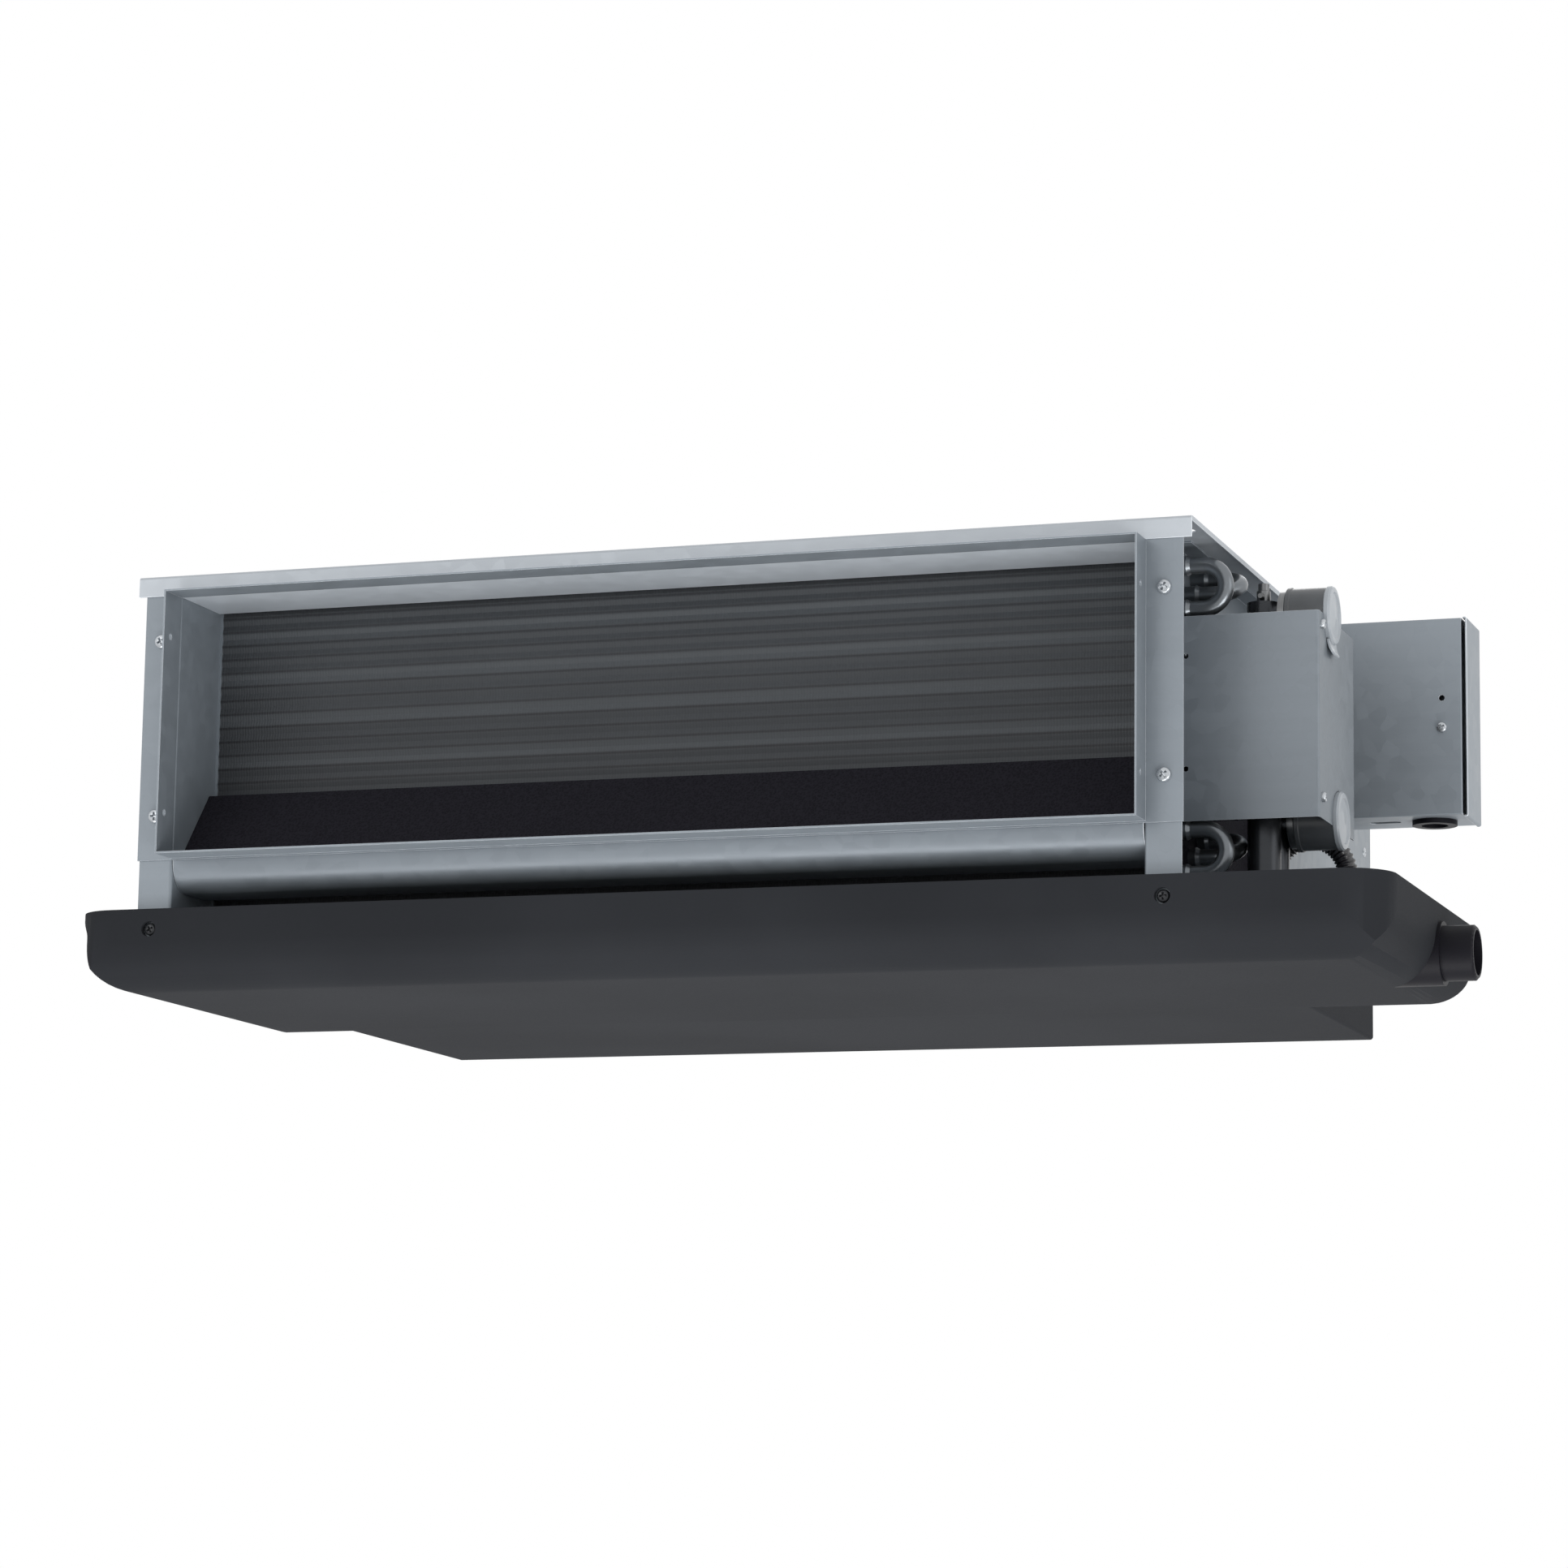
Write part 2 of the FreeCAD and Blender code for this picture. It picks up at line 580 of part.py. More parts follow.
def header(row, neck_z, top):
    """A vertical header with one feed per circuit and a neck to its water socket."""
    feeds = [tube_at(row, 2 * c + 1) for c in range(TUBES_HIGH // 2)]
    y = feeds[0][0]
    low = feeds[-1][1] - HEADER_R
    body = [cyl((HEADER_X, y, low), (0, 0, 1), HEADER_R, top - low),
            cyl((HEADER_X, y, neck_z), (1, 0, 0), NECK_R, SOCKET_X0 - HEADER_X)]
    body += [cyl((TS_OUT, f[0], f[1]), (1, 0, 0), TUBE_R, HEADER_X - TS_OUT) for f in feeds]
    return join(*body), y


ret, ret_y = header(1, RETURN_Z, HEADER_TOP)
sup, sup_y = header(2, SUPPLY_Z, HEADER_TOP)
save("return_header", ret)
save("supply_header", sup)


def socket(y, z):
    s = cyl((SOCKET_X0, y, z), (1, 0, 0), SOCKET_R, SOCKET_X1 - SOCKET_X0)
    s = s.cut(cyl((SOCKET_X0 + SOCKET_FLOOR, y, z), (1, 0, 0), SOCKET_R - SOCKET_WALL, SOCKET_LEN))
    return s


def water_cap(y, z):
    x0 = SOCKET_X1 - CAP_LEN
    c = cyl((x0, y, z), (1, 0, 0), CAP_R, CAP_LEN + CAP_END)
    c = c.makeChamfer(CAP_CHAMFER, [e for e in c.Edges if abs(e.CenterOfMass.x - SOCKET_X1 - CAP_END) < 0.01])
    return c.cut(cyl((x0 - 1, y, z), (1, 0, 0), SOCKET_R + CAP_GAP, CAP_LEN + 1))


save("water_sockets", socket(ret_y, RETURN_Z), socket(sup_y, SUPPLY_Z))
save("water_caps", water_cap(ret_y, RETURN_Z), water_cap(sup_y, SUPPLY_Z))

vent = cyl((HEADER_X, ret_y, HEADER_TOP), (0, 0, 1), VENT_R, VENT_H)
vent = join(vent, cyl((HEADER_X, ret_y, HEADER_TOP + VENT_SEAT), (0, -1, 0), VENT_NOZZLE_R,
                      VENT_R + VENT_NOZZLE_LEN))
vent = vent.cut(cyl((HEADER_X, ret_y, HEADER_TOP + VENT_FLOOR), (0, 0, 1), VENT_SCREW_R + RUN_GAP, VENT_H))
save("air_vent", vent)
head_z = HEADER_TOP + VENT_H + VENT_LIFT
vent_screw = join(cyl((HEADER_X, ret_y, HEADER_TOP + VENT_SEAT), (0, 0, 1), VENT_SCREW_R,
                      head_z - HEADER_TOP - VENT_SEAT),
                  cyl((HEADER_X, ret_y, head_z), (0, 0, 1), VENT_HEAD_R, VENT_HEAD_H))
vent_screw = vent_screw.cut(box(HEADER_X - VENT_HEAD_R, HEADER_X + VENT_HEAD_R, ret_y - VENT_SLOT / 2,
                                ret_y + VENT_SLOT / 2, head_z + VENT_HEAD_H - VENT_SLOT_DEEP,
                                head_z + VENT_HEAD_H))
save("air_vent_screw", vent_screw)

# pipe bracket
bracket = strip([(SIDE_HALF, BRACKET_Y + SHEET - BRACKET_FLANGE), (SIDE_HALF, BRACKET_Y + SHEET),
                 (BRACKET_X - SHEET, BRACKET_Y + SHEET), (BRACKET_X - SHEET, BRACKET_BACK)],
                -SHEET, "Z", BRACKET_BOT, BRACKET_TOP)
slot_r = CAP_R + SLOT_GAP
for y, z in ((ret_y, RETURN_Z), (sup_y, SUPPLY_Z)):
    away = 1 if z > (BRACKET_TOP + BRACKET_BOT) / 2 else -1
    z0, z1 = sorted((z, z + away * 3 * slot_r))
    slot = join(cyl((BRACKET_X - CUT, y, z), (1, 0, 0), slot_r, 2 * CUT),
                box(BRACKET_X - CUT, BRACKET_X + CUT, y - slot_r, y + slot_r, z0, z1))
    bracket = bracket.cut(slot)
bracket_screw_y = BRACKET_Y - BRACKET_FLANGE / 2
for z in BRACKET_HOLE_Z:
    bracket = bracket.cut(cyl((SIDE_HALF + BRACKET_HOLE_IN, BRACKET_Y - 1, z), (0, 1, 0),
                              BRACKET_HOLE_R, CUT))
    bracket = bracket.cut(cyl((SIDE_HALF - 1, bracket_screw_y, z), (1, 0, 0), hole_r, CUT))
    side = side.cut(cyl((TS_OUT - 1, bracket_screw_y, z), (1, 0, 0), hole_r, CUT))
save("side_panel_right", side)
wall_y = BRACKET_Y + WALL_SCREW_Y
wall_z = (BRACKET_TOP - WALL_SCREW_DOWN, BRACKET_BOT + WALL_SCREW_UP)
for z in wall_z:
    bracket = bracket.cut(cyl((BRACKET_X - CUT / 2, wall_y, z), (1, 0, 0), hole_r, CUT))
save("pipe_bracket", bracket)
save("bracket_screws",
     *[screw((SIDE_HALF + SHEET, bracket_screw_y, z), (1, 0, 0), BRACKET_HEAD_R, LOW_HEAD_H, 2 * SHEET)
       for z in BRACKET_HOLE_Z],
     *[screw((BRACKET_X, wall_y, z), (1, 0, 0), WALL_HEAD_R, LOW_HEAD_H, 3 * SHEET) for z in wall_z])


# drain pan
def pan_form(g, z_top):
    """The pressed tray's form, inset by g all round and open to z_top."""
    x0, x1, y0, y1 = PAN_X0 + g, PAN_X1 - g, PAN_Y0 + g, PAN_Y1 - g
    zb = PAN_BOT + g
    rb, rf, rr = PAN_ROUND - g, PAN_CORNER - g, PAN_REAR_CORNER - g
    flare_z = PAN_TOP - FLARE_H
    rim = x0 - PAN_FLARE * (z_top - flare_z) / FLARE_H
    front_view = rounded([(rim, z_top), (x0, flare_z), (x0, zb), (x1, zb), (x1, z_top)],
                         [0, FLARE_R, rb, rb, 0], "Y", y0 - 1, y1 + 1)
    side_view = rounded([(y0, z_top), (y0, zb), (y1, zb), (y1, z_top)], [0, rb, rb / 2, 0],
                        "X", x0 - 2 * PAN_FLARE, x1 + 1)
    plan = rounded([(x0 - PAN_FLARE, y0), (x1, y0), (x1, y1), (x0 - PAN_FLARE, y1)], [rf, rf, rr, rr],
                   "Z", zb - 1, z_top)
    return front_view.common(side_view).common(plan).removeSplitter()


foam_in = pan_form(PAN_FOAM, PAN_TOP)
steel_in = pan_form(PAN_WALL, PAN_TOP)
skin = pan_form(0.0, PAN_TOP).cut(foam_in)
tray = foam_in.cut(steel_in)
neck_r = SPIGOT_R - SPIGOT_WALL
spigot_z = PAN_BOT + PAN_WALL + neck_r + SPIGOT_UP
turn_x = PAN_X1 - PAN_ROUND
spigot_rod = cyl((turn_x, SPIGOT_Y, spigot_z), (1, 0, 0), SPIGOT_R + SPIGOT_BASE, PAN_ROUND + SPIGOT_COLLAR)
spigot_bore = cyl((turn_x - 2, SPIGOT_Y, spigot_z), (1, 0, 0), neck_r, PAN_ROUND + SPIGOT_LEN + 4)
spigot_end = PAN_X1 + SPIGOT_LEN
spigot = cyl((PAN_X1, SPIGOT_Y, spigot_z), (1, 0, 0), SPIGOT_R, SPIGOT_LEN)
spigot = spigot.makeChamfer(SPIGOT_CHAMFER, [e for e in spigot.Edges
                                             if abs(e.CenterOfMass.x - spigot_end) < 0.01])
spigot = join(spigot, spigot_rod)
spigot = spigot.cut(spigot_bore).cut(foam_in)
for s in (-1, 1):
    skin = skin.cut(cyl((s * PAN_SCREW_X, PAN_Y0 - 1, PAN_SCREW_Z), (0, 1, 0), PAN_HEAD_R + PAN_HEAD_GAP,
                        PAN_FOAM + 1))
    tray = tray.cut(cyl((s * PAN_SCREW_X, PAN_Y0, PAN_SCREW_Z), (0, 1, 0), hole_r, PAN_WALL + CUT))
skin = skin.cut(spigot_rod)
tray = tray.cut(spigot_bore)
save("drain_pan", tray)
save("pan_insulation", skin)
save("drain_spigot", spigot)
save("pan_screws", *[screw((s * PAN_SCREW_X, PAN_Y0 + PAN_FOAM, PAN_SCREW_Z), (0, -1, 0),
                           PAN_HEAD_R, PAN_HEAD_H, PAN_SCREW_LEN) for s in (-1, 1)])

# fan section
SEC_HALF = CASE_HALF - SHEET
SEC_BOT = -CASE_H
tongue = math.radians(TONGUE_DEG)


def scroll_outline(g, y_out):
    """Side outline of the scroll in Y and Z, inset by g, with its outlet at y_out."""
    def at(deg):
        # 0 points at the outlet, and the angle grows down, back and up over the top
        r = WHEEL_R + SCROLL_GAP + SHEET + SCROLL_GROW * max(deg, 0) / 270.0 - g
        a = math.radians(180 + deg)
        return (FAN_Y + r * math.cos(a), FAN_Z + r * math.sin(a))
    edges = []
    lip = at(-TONGUE_DEG)
    edges.append(line((y_out, lip[1] - g), (lip[0] - 2, lip[1] - g), "X", 0))
    edges.append(line((lip[0] - 2, lip[1] - g), at(-TONGUE_DEG + 4), "X", 0))
    stops = [-TONGUE_DEG + 4, 30, 90, 150, 210, 270]
    for d0, d1 in zip(stops, stops[1:]):
        edges.append(arc(at(d0), at((d0 + d1) / 2), at(d1), "X", 0))
    end = at(270)
    edges.append(line(end, (y_out, end[1]), "X", 0))
    edges.append(line((y_out, end[1]), (y_out, lip[1] - g), "X", 0))
    return edges, end[1], lip[1]


deck_back = DECK_Y + SHEET


def scroll(xc):
    w = SCROLL_W / 2
    outer, z_top, z_lip = scroll_outline(0.0, deck_back)
    inner, zi_top, zi_lip = scroll_outline(SHEET, deck_back - 5)
    body = extrude(outer, "X", 0, SCROLL_W)
    body.translate(V(xc - w, 0, 0))
    hollow = extrude(inner, "X", 0, SCROLL_W - 2 * SHEET)
    hollow.translate(V(xc - w + SHEET, 0, 0))
    flange = box(xc - w - SCROLL_RIM, xc + w + SCROLL_RIM, deck_back, deck_back + SHEET,
                 z_lip - SCROLL_RIM, z_top + SCROLL_RIM)
    body = join(body, flange).cut(hollow)
    body = body.cut(cyl((xc - w - 1, FAN_Y, FAN_Z), (1, 0, 0), INLET_R, SCROLL_W + 2))
    rings = []
    for s in (-1, 1):
        # rolled inlet edge, a cone turned into the scroll
        x = xc + s * w
        prof = [(x, INLET_R + ROLL_UP), (x - s * ROLL_DEEP, INLET_R - ROLL_UP),
                (x - s * ROLL_DEEP, INLET_R - ROLL_UP + SHEET), (x - s * SHEET, INLET_R + ROLL_UP)]
        pts = [V(px, FAN_Y + pr, FAN_Z) for px, pr in prof]
        face = Part.Face(Part.makePolygon(pts + [pts[0]]))
        ring = face.revolve(V(0, FAN_Y, FAN_Z), V(1, 0, 0), 360)
        if ring.Volume < 0:
            ring.reverse()
        rings.append(ring)
    return join(body, *rings), (z_lip, z_top)


right_scroll, (lip_z, outlet_top) = scroll(WHEEL_X)
left_scroll, _ = scroll(-WHEEL_X)
save("scroll_right", right_scroll)
save("scroll_left", left_scroll)

deck = strip([(deck_back + 12, SEC_BOT), (DECK_Y, SEC_BOT), (DECK_Y, -SHEET), (deck_back + 12, -SHEET)],
             -SHEET, "X", -SEC_HALF, SEC_HALF)
for s in (-1, 1):
    xc = s * WHEEL_X
    w = SCROLL_W / 2 - SHEET
    deck = deck.cut(box(xc - w, xc + w, DECK_Y - 1, deck_back + 0.5, lip_z, outlet_top - SHEET))
save("fan_deck", deck)


def wheel():
    """A double-inlet wheel of forward-curved blades, with end rings, middle disc and hub."""
    h = WHEEL_LEN / 2
    ro, ri = WHEEL_R, WHEEL_R - BLADE_DEPTH
    bore = SHAFT_R + HUB_GAP
    parts = [tube((-h, 0, 0), (1, 0, 0), ro, ri + RING_DEEP, RING_LEN),
             tube((h - RING_LEN, 0, 0), (1, 0, 0), ro, ri + RING_DEEP, RING_LEN),
             tube((-DISC_T / 2, 0, 0), (1, 0, 0), ri + RING_DEEP, bore, DISC_T),
             tube((-HUB_LEN / 2, 0, 0), (1, 0, 0), HUB_R, bore, HUB_LEN)]
    # blade: chord leans forward at the rim, curved as three flats on each side
    lean = [(ri, 0.0), (ri + 0.36 * BLADE_DEPTH, -0.035), (ri + 0.72 * BLADE_DEPTH, -0.02),
            (ro - 0.15, 0.045)]
    line_pts = [(r * math.cos(a), r * math.sin(a)) for r, a in lean]
    nrm = []
    for i, p in enumerate(line_pts):
        q0 = line_pts[max(i - 1, 0)]
        q1 = line_pts[min(i + 1, len(line_pts) - 1)]
        d = unit((q1[0] - q0[0], q1[1] - q0[1]))
        nrm.append((-d[1] * BLADE_T / 2, d[0] * BLADE_T / 2))
    ring = [(p[0] + k[0], p[1] + k[1]) for p, k in zip(line_pts, nrm)]
    ring += [(p[0] - k[0], p[1] - k[1]) for p, k in reversed(list(zip(line_pts, nrm)))]
    blade = prism(ring, "X", -h + 0.5, h - 0.5)
    for i in range(BLADES):
        b = blade.copy()
        b.rotate(V(0, 0, 0), V(1, 0, 0), 360.0 * i / BLADES)
        parts.append(b)
    return join(*parts)


one = wheel()
for name, s in (("impeller_right", 1), ("impeller_left", -1)):
    w = one.copy()
    w.translate(V(s * WHEEL_X, FAN_Y, FAN_Z))
    save(name, w)

boss_end = MOTOR_LEN / 2 + BOSS_LEN
shaft_half = WHEEL_X + SHAFT_END
save("fan_shaft", join(cyl((-shaft_half, FAN_Y, FAN_Z), (1, 0, 0), SHAFT_R, 2 * shaft_half),
                       cyl((-ROTOR_HALF, FAN_Y, FAN_Z), (1, 0, 0), STATOR_IN - ROTOR_GAP, 2 * ROTOR_HALF)))



def motor_drum(r, half_len):
    """A drum on the shaft's axis with chamfered ends."""
    drum = cyl((-half_len, FAN_Y, FAN_Z), (1, 0, 0), r, 2 * half_len)
    rims = [e for e in drum.Edges if abs(abs(e.CenterOfMass.x) - half_len) < 0.01]
    return drum.makeChamfer(MOTOR_CHAMFER, rims)


shell = motor_drum(MOTOR_R, MOTOR_LEN / 2)
shell = join(shell, cyl((-boss_end, FAN_Y, FAN_Z), (1, 0, 0), BOSS_R, 2 * boss_end),
             tube((-BEAD_W / 2, FAN_Y, FAN_Z), (1, 0, 0), MOTOR_R + BEAD_UP, MOTOR_R - 1, BEAD_W))
shell = shell.cut(motor_drum(MOTOR_R - MOTOR_WALL, MOTOR_LEN / 2 - MOTOR_WALL))
shell = shell.cut(cyl((-boss_end - 1, FAN_Y, FAN_Z), (1, 0, 0), SHAFT_R + RUN_GAP, 2 * boss_end + 2))
save("motor_shell", shell)
save("motor_stator", tube((-ROTOR_HALF, FAN_Y, FAN_Z), (1, 0, 0), MOTOR_R - MOTOR_WALL, STATOR_IN,
                          2 * ROTOR_HALF))
ring_x = MOTOR_LEN / 2 + (BOSS_LEN - RING_W) / 2
save("motor_rings", tube((ring_x, FAN_Y, FAN_Z), (1, 0, 0), RING_R, BOSS_R, RING_W),
     tube((-ring_x - RING_W, FAN_Y, FAN_Z), (1, 0, 0), RING_R, BOSS_R, RING_W))

shelf_z = FAN_Z - CRADLE_DROP
cradle_half = ring_x + RING_W
cradle = strip([(deck_back, FAN_Z), (deck_back, shelf_z), (FAN_Y + CRADLE_BACK, shelf_z),
                (FAN_Y + CRADLE_BACK, shelf_z + CRADLE_LIP)], CRADLE_T, "X", -cradle_half, cradle_half)
for s in (-1, 1):
    x = s * (ring_x + RING_W / 2)
    post = prism([(FAN_Y - POST_FOOT, shelf_z + 1), (FAN_Y + POST_FOOT, shelf_z + 1),
                  (FAN_Y + POST_HEAD, FAN_Z), (FAN_Y - POST_HEAD, FAN_Z)], "X", x - CRADLE_T / 2,
                 x + CRADLE_T / 2)
    cradle = join(cradle, post).cut(cyl((x - CUT, FAN_Y, FAN_Z), (1, 0, 0), RING_R, 2 * CUT))
save("motor_cradle", cradle)
straps = []
for s in (-1, 1):
    x = s * (ring_x + RING_W / 2)
    x0, x1 = x - STRAP_W / 2, x + STRAP_W / 2
    st = tube((x0, FAN_Y, FAN_Z), (1, 0, 0), RING_R + STRAP_T, RING_R, STRAP_W)
    st = join(st, box(x0, x1, FAN_Y - POST_HEAD, FAN_Y - RING_R, FAN_Z, FAN_Z + STRAP_T),
              box(x0, x1, FAN_Y + RING_R, FAN_Y + POST_HEAD, FAN_Z, FAN_Z + STRAP_T))
    straps.append(st.cut(box(x0, x1, FAN_Y - 2 * RING_R, FAN_Y + 2 * RING_R, FAN_Z - 2 * RING_R, FAN_Z)))
save("motor_straps", *straps)

# fan section casing
plenum = strip([(CASE_HALF - 13, deck_back), (CASE_HALF, deck_back), (CASE_HALF, CASE_DEPTH),
                (CASE_HALF - REAR_RIM, CASE_DEPTH)], SHEET, "Z", SEC_BOT + 13, -13)
web = box(CASE_HALF - SHEET, CASE_HALF, deck_back + SHEET, CASE_DEPTH - SHEET, SEC_BOT + BEND_R, -SHEET)
plenum = join(plenum, web)
save("fan_section_side_right", plenum)
left = mirror_x(plenum).cut(box(-CASE_HALF - 1, -CASE_HALF + 2, RAIL_Y + SHEET, RAIL_Y + SHEET + RAIL_IN,
                                RAIL_BOT, RAIL_TOP - SHEET))
save("fan_section_side_left", left)

bottom = strip([(-CASE_HALF - SHEET, SEC_BOT + TRAY_UP), (-CASE_HALF - SHEET, SEC_BOT - SHEET),
                (CASE_HALF + SHEET, SEC_BOT - SHEET), (CASE_HALF + SHEET, SEC_BOT + TRAY_UP)],
               SHEET, "Y", DECK_Y + 2, CASE_DEPTH)
bottom = bottom.cut(box(-CASE_HALF - 3, -CASE_HALF + 1, RAIL_Y + SHEET, RAIL_Y + SHEET + RAIL_IN,
                        RAIL_BOT, SEC_BOT + TRAY_UP + 1))
save("fan_section_bottom", bottom)

rear = box(-CASE_HALF + REAR_RIM, CASE_HALF - REAR_RIM, CASE_DEPTH - SHEET, CASE_DEPTH, SEC_BOT, -SHEET)
rear = rear.cut(box(-CASE_HALF + 2 * REAR_RIM, CASE_HALF - 2 * REAR_RIM, CASE_DEPTH - 5, CASE_DEPTH + 1,
                    SEC_BOT + REAR_RIM, -REAR_RIM))
save("rear_frame", rear)


def rail(z, up):
    """A channel for the filter's edge; its rear leg reaches the casing."""
    reach = -SHEET if up > 0 else SEC_BOT
    leg = z - up * RAIL_LEG
    y2 = RAIL_Y + RAIL_IN + SHEET
    x = SEC_HALF - BEND_R
    return join(box(-x, x, RAIL_Y, RAIL_Y + SHEET, *sorted((leg, z))),
                box(-x, x, RAIL_Y, y2 + 0.5, *sorted((z - up * SHEET, z))),
                box(-x, x, y2, y2 + SHEET, *sorted((leg, reach))))


save("filter_rails", rail(RAIL_TOP, 1), rail(RAIL_BOT, -1))
fz0, fz1 = RAIL_BOT + SHEET + FILTER_GAP, RAIL_TOP - SHEET - FILTER_GAP
fy0, fy1 = RAIL_Y + SHEET + FILTER_GAP, RAIL_Y + SHEET + RAIL_IN - FILTER_GAP
fx0, fx1 = -CASE_HALF, SEC_HALF - SHEET
ff = box(fx0, fx1, fy0, fy1, fz0, fz1)
cell = (fx1 - fx0 - FILTER_RIM * 2) / FILTER_CELLS
for i in range(FILTER_CELLS):
    x0 = fx0 + FILTER_RIM + cell * i + (FILTER_BAR if i else 0)
    x1 = fx0 + FILTER_RIM + cell * (i + 1) - (FILTER_BAR if i < FILTER_CELLS - 1 else 0)
    ff = ff.cut(box(x0, x1, fy0 - 1, fy1 + 1, fz0 + FILTER_RIM, fz1 - FILTER_RIM))
mid_y = (fy0 + fy1) / 2
groove = box(fx0 + MESH_EDGE, fx1 - MESH_EDGE, mid_y - MESH_T / 2, mid_y + MESH_T / 2,
             fz0 + MESH_EDGE, fz1 - MESH_EDGE)
save("filter_frame", ff.cut(groove))
save("filter_mesh", groove)

# electrical box
bx0 = CASE_HALF
by1 = BOX_Y0 + BOX_DEPTH
body = box(bx0, BOX_X1 - GROOVE, BOX_Y0, by1, BOX_BOT, BOX_TOP)
body = body.makeFillet(BOX_EDGE, [e for e in body.Edges if abs(e.CenterOfMass.y - BOX_Y0) < 0.01])
body = body.cut(box(bx0 + SHEET, BOX_X1, BOX_Y0 + SHEET, by1 - SHEET, BOX_BOT + SHEET, BOX_TOP - SHEET))
gland_y = BOX_Y0 + BOX_DEPTH / 2
cut_z = BOX_BOT - CUT / 2
body = body.cut(cyl((GLAND_X, gland_y, cut_z), (0, 0, 1), GLAND_R - GLAND_NECK, CUT))
slot_x = [GLAND_X - out for out in ENTRY_OUT]
slot = join(*[cyl((x, gland_y, cut_z), (0, 0, 1), ENTRY_R, CUT) for x in slot_x],
            box(*slot_x, gland_y - ENTRY_R, gland_y + ENTRY_R, cut_z, cut_z + CUT))
body = body.cut(slot)
hole_x = BOX_X1 - BOX_HOLE_IN
body = body.cut(cyl((hole_x, BOX_Y0 - 1, BOX_HOLE_Z), (0, 1, 0), BOX_HOLE_R, CUT))
body = body.cut(cyl((hole_x, BOX_Y0 - 1, BOX_SCREW_Z), (0, 1, 0), hole_r, CUT))
tabs = box(BOX_X1 - GROOVE - SHEET, BOX_X1 - SHEET, BOX_Y0 + TAB_FRONT, by1 - TAB_BACK,
           BOX_TOP - 2 * SHEET, BOX_TOP - SHEET)
low_tab = tabs.copy()
low_tab.translate(V(0, 0, BOX_BOT - BOX_TOP + 3 * SHEET))
body = join(body, tabs, low_tab)
save("terminal_box", body)
cover = strip([(BOX_X1 - COVER_LIP, BOX_TOP + SHEET), (BOX_X1, BOX_TOP + SHEET),
               (BOX_X1, BOX_BOT - SHEET), (BOX_X1 - COVER_LIP, BOX_BOT - SHEET)], -SHEET,
              "Y", BOX_Y0 + 2 * SHEET, by1, [0, TIGHT_R, TIGHT_R, 0])
save("terminal_box_cover", cover)
gland_z = BOX_BOT - GLAND_FLANGE
gland = join(tube((GLAND_X, gland_y, gland_z), (0, 0, 1), GLAND_R, GLAND_BORE, GLAND_FLANGE),
             tube((GLAND_X, gland_y, gland_z), (0, 0, 1), GLAND_R - GLAND_NECK, GLAND_BORE,
                  GLAND_FLANGE + SHEET),
             tube((GLAND_X, gland_y, BOX_BOT + SHEET), (0, 0, 1), GLAND_R - GLAND_LIP_IN, GLAND_BORE,
                  GLAND_LIP))
save("cable_grommet", gland)
block_x = CASE_HALF + BLOCK_IN
block_front = by1 - SHEET - BLOCK_DEEP
block = box(block_x, block_x + POLES * POLE, block_front, by1 - SHEET, *BLOCK_Z)
for i in range(POLES):
    x = block_x + POLE * (i + 0.5)
    block = block.cut(cyl((x, block_front - 1, sum(BLOCK_Z) / 2), (0, 1, 0), BLOCK_HOLE_R, CUT + 1))
save("terminal_block", block)
save("terminal_box_screw", screw((hole_x, BOX_Y0, BOX_SCREW_Z), (0, -1, 0), BOX_HEAD_R, LOW_HEAD_H,
                                 4 * SHEET))

# corrugated lead sleeve looped over the pan's end
foot = PAN_BOT + PAN_WALL
near, far = [V(CASE_HALF + LOOP_OUT + w, LOOP_Y, foot) for w in (0, LOOP_W)]
rise = V(0, 0, LOOP_TOP - LOOP_W / 2 - foot)
save("lead_sleeve", mitred_tube([near, *half_turn(near + rise, far + rise, V(0, 0, 1)), far], LOOP_R))
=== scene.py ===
import bpy
import bmesh
import json
import math
from mathutils import Matrix, Vector


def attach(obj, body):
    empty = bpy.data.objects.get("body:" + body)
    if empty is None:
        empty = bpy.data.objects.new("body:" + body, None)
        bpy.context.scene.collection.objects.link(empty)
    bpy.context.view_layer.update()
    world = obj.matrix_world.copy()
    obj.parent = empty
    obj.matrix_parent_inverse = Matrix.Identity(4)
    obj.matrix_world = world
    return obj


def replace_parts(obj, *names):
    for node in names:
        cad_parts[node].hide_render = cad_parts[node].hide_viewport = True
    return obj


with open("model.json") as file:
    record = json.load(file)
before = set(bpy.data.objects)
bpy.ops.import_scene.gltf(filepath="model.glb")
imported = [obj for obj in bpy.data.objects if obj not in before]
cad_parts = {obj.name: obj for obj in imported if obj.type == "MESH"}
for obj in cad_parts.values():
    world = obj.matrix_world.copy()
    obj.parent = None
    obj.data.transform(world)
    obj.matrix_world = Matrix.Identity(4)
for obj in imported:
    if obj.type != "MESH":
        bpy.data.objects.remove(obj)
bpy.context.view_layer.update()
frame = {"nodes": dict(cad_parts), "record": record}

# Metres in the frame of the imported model. Points are written in millimetres from the outlet
# flange's front face, as in the part's source, and at() turns them into the frame.
FLANGE_TO_ORIGIN = 272.5


def at(x, y, z):
    return Vector((x, y - FLANGE_TO_ORIGIN, z)) / 1000


# shader maths

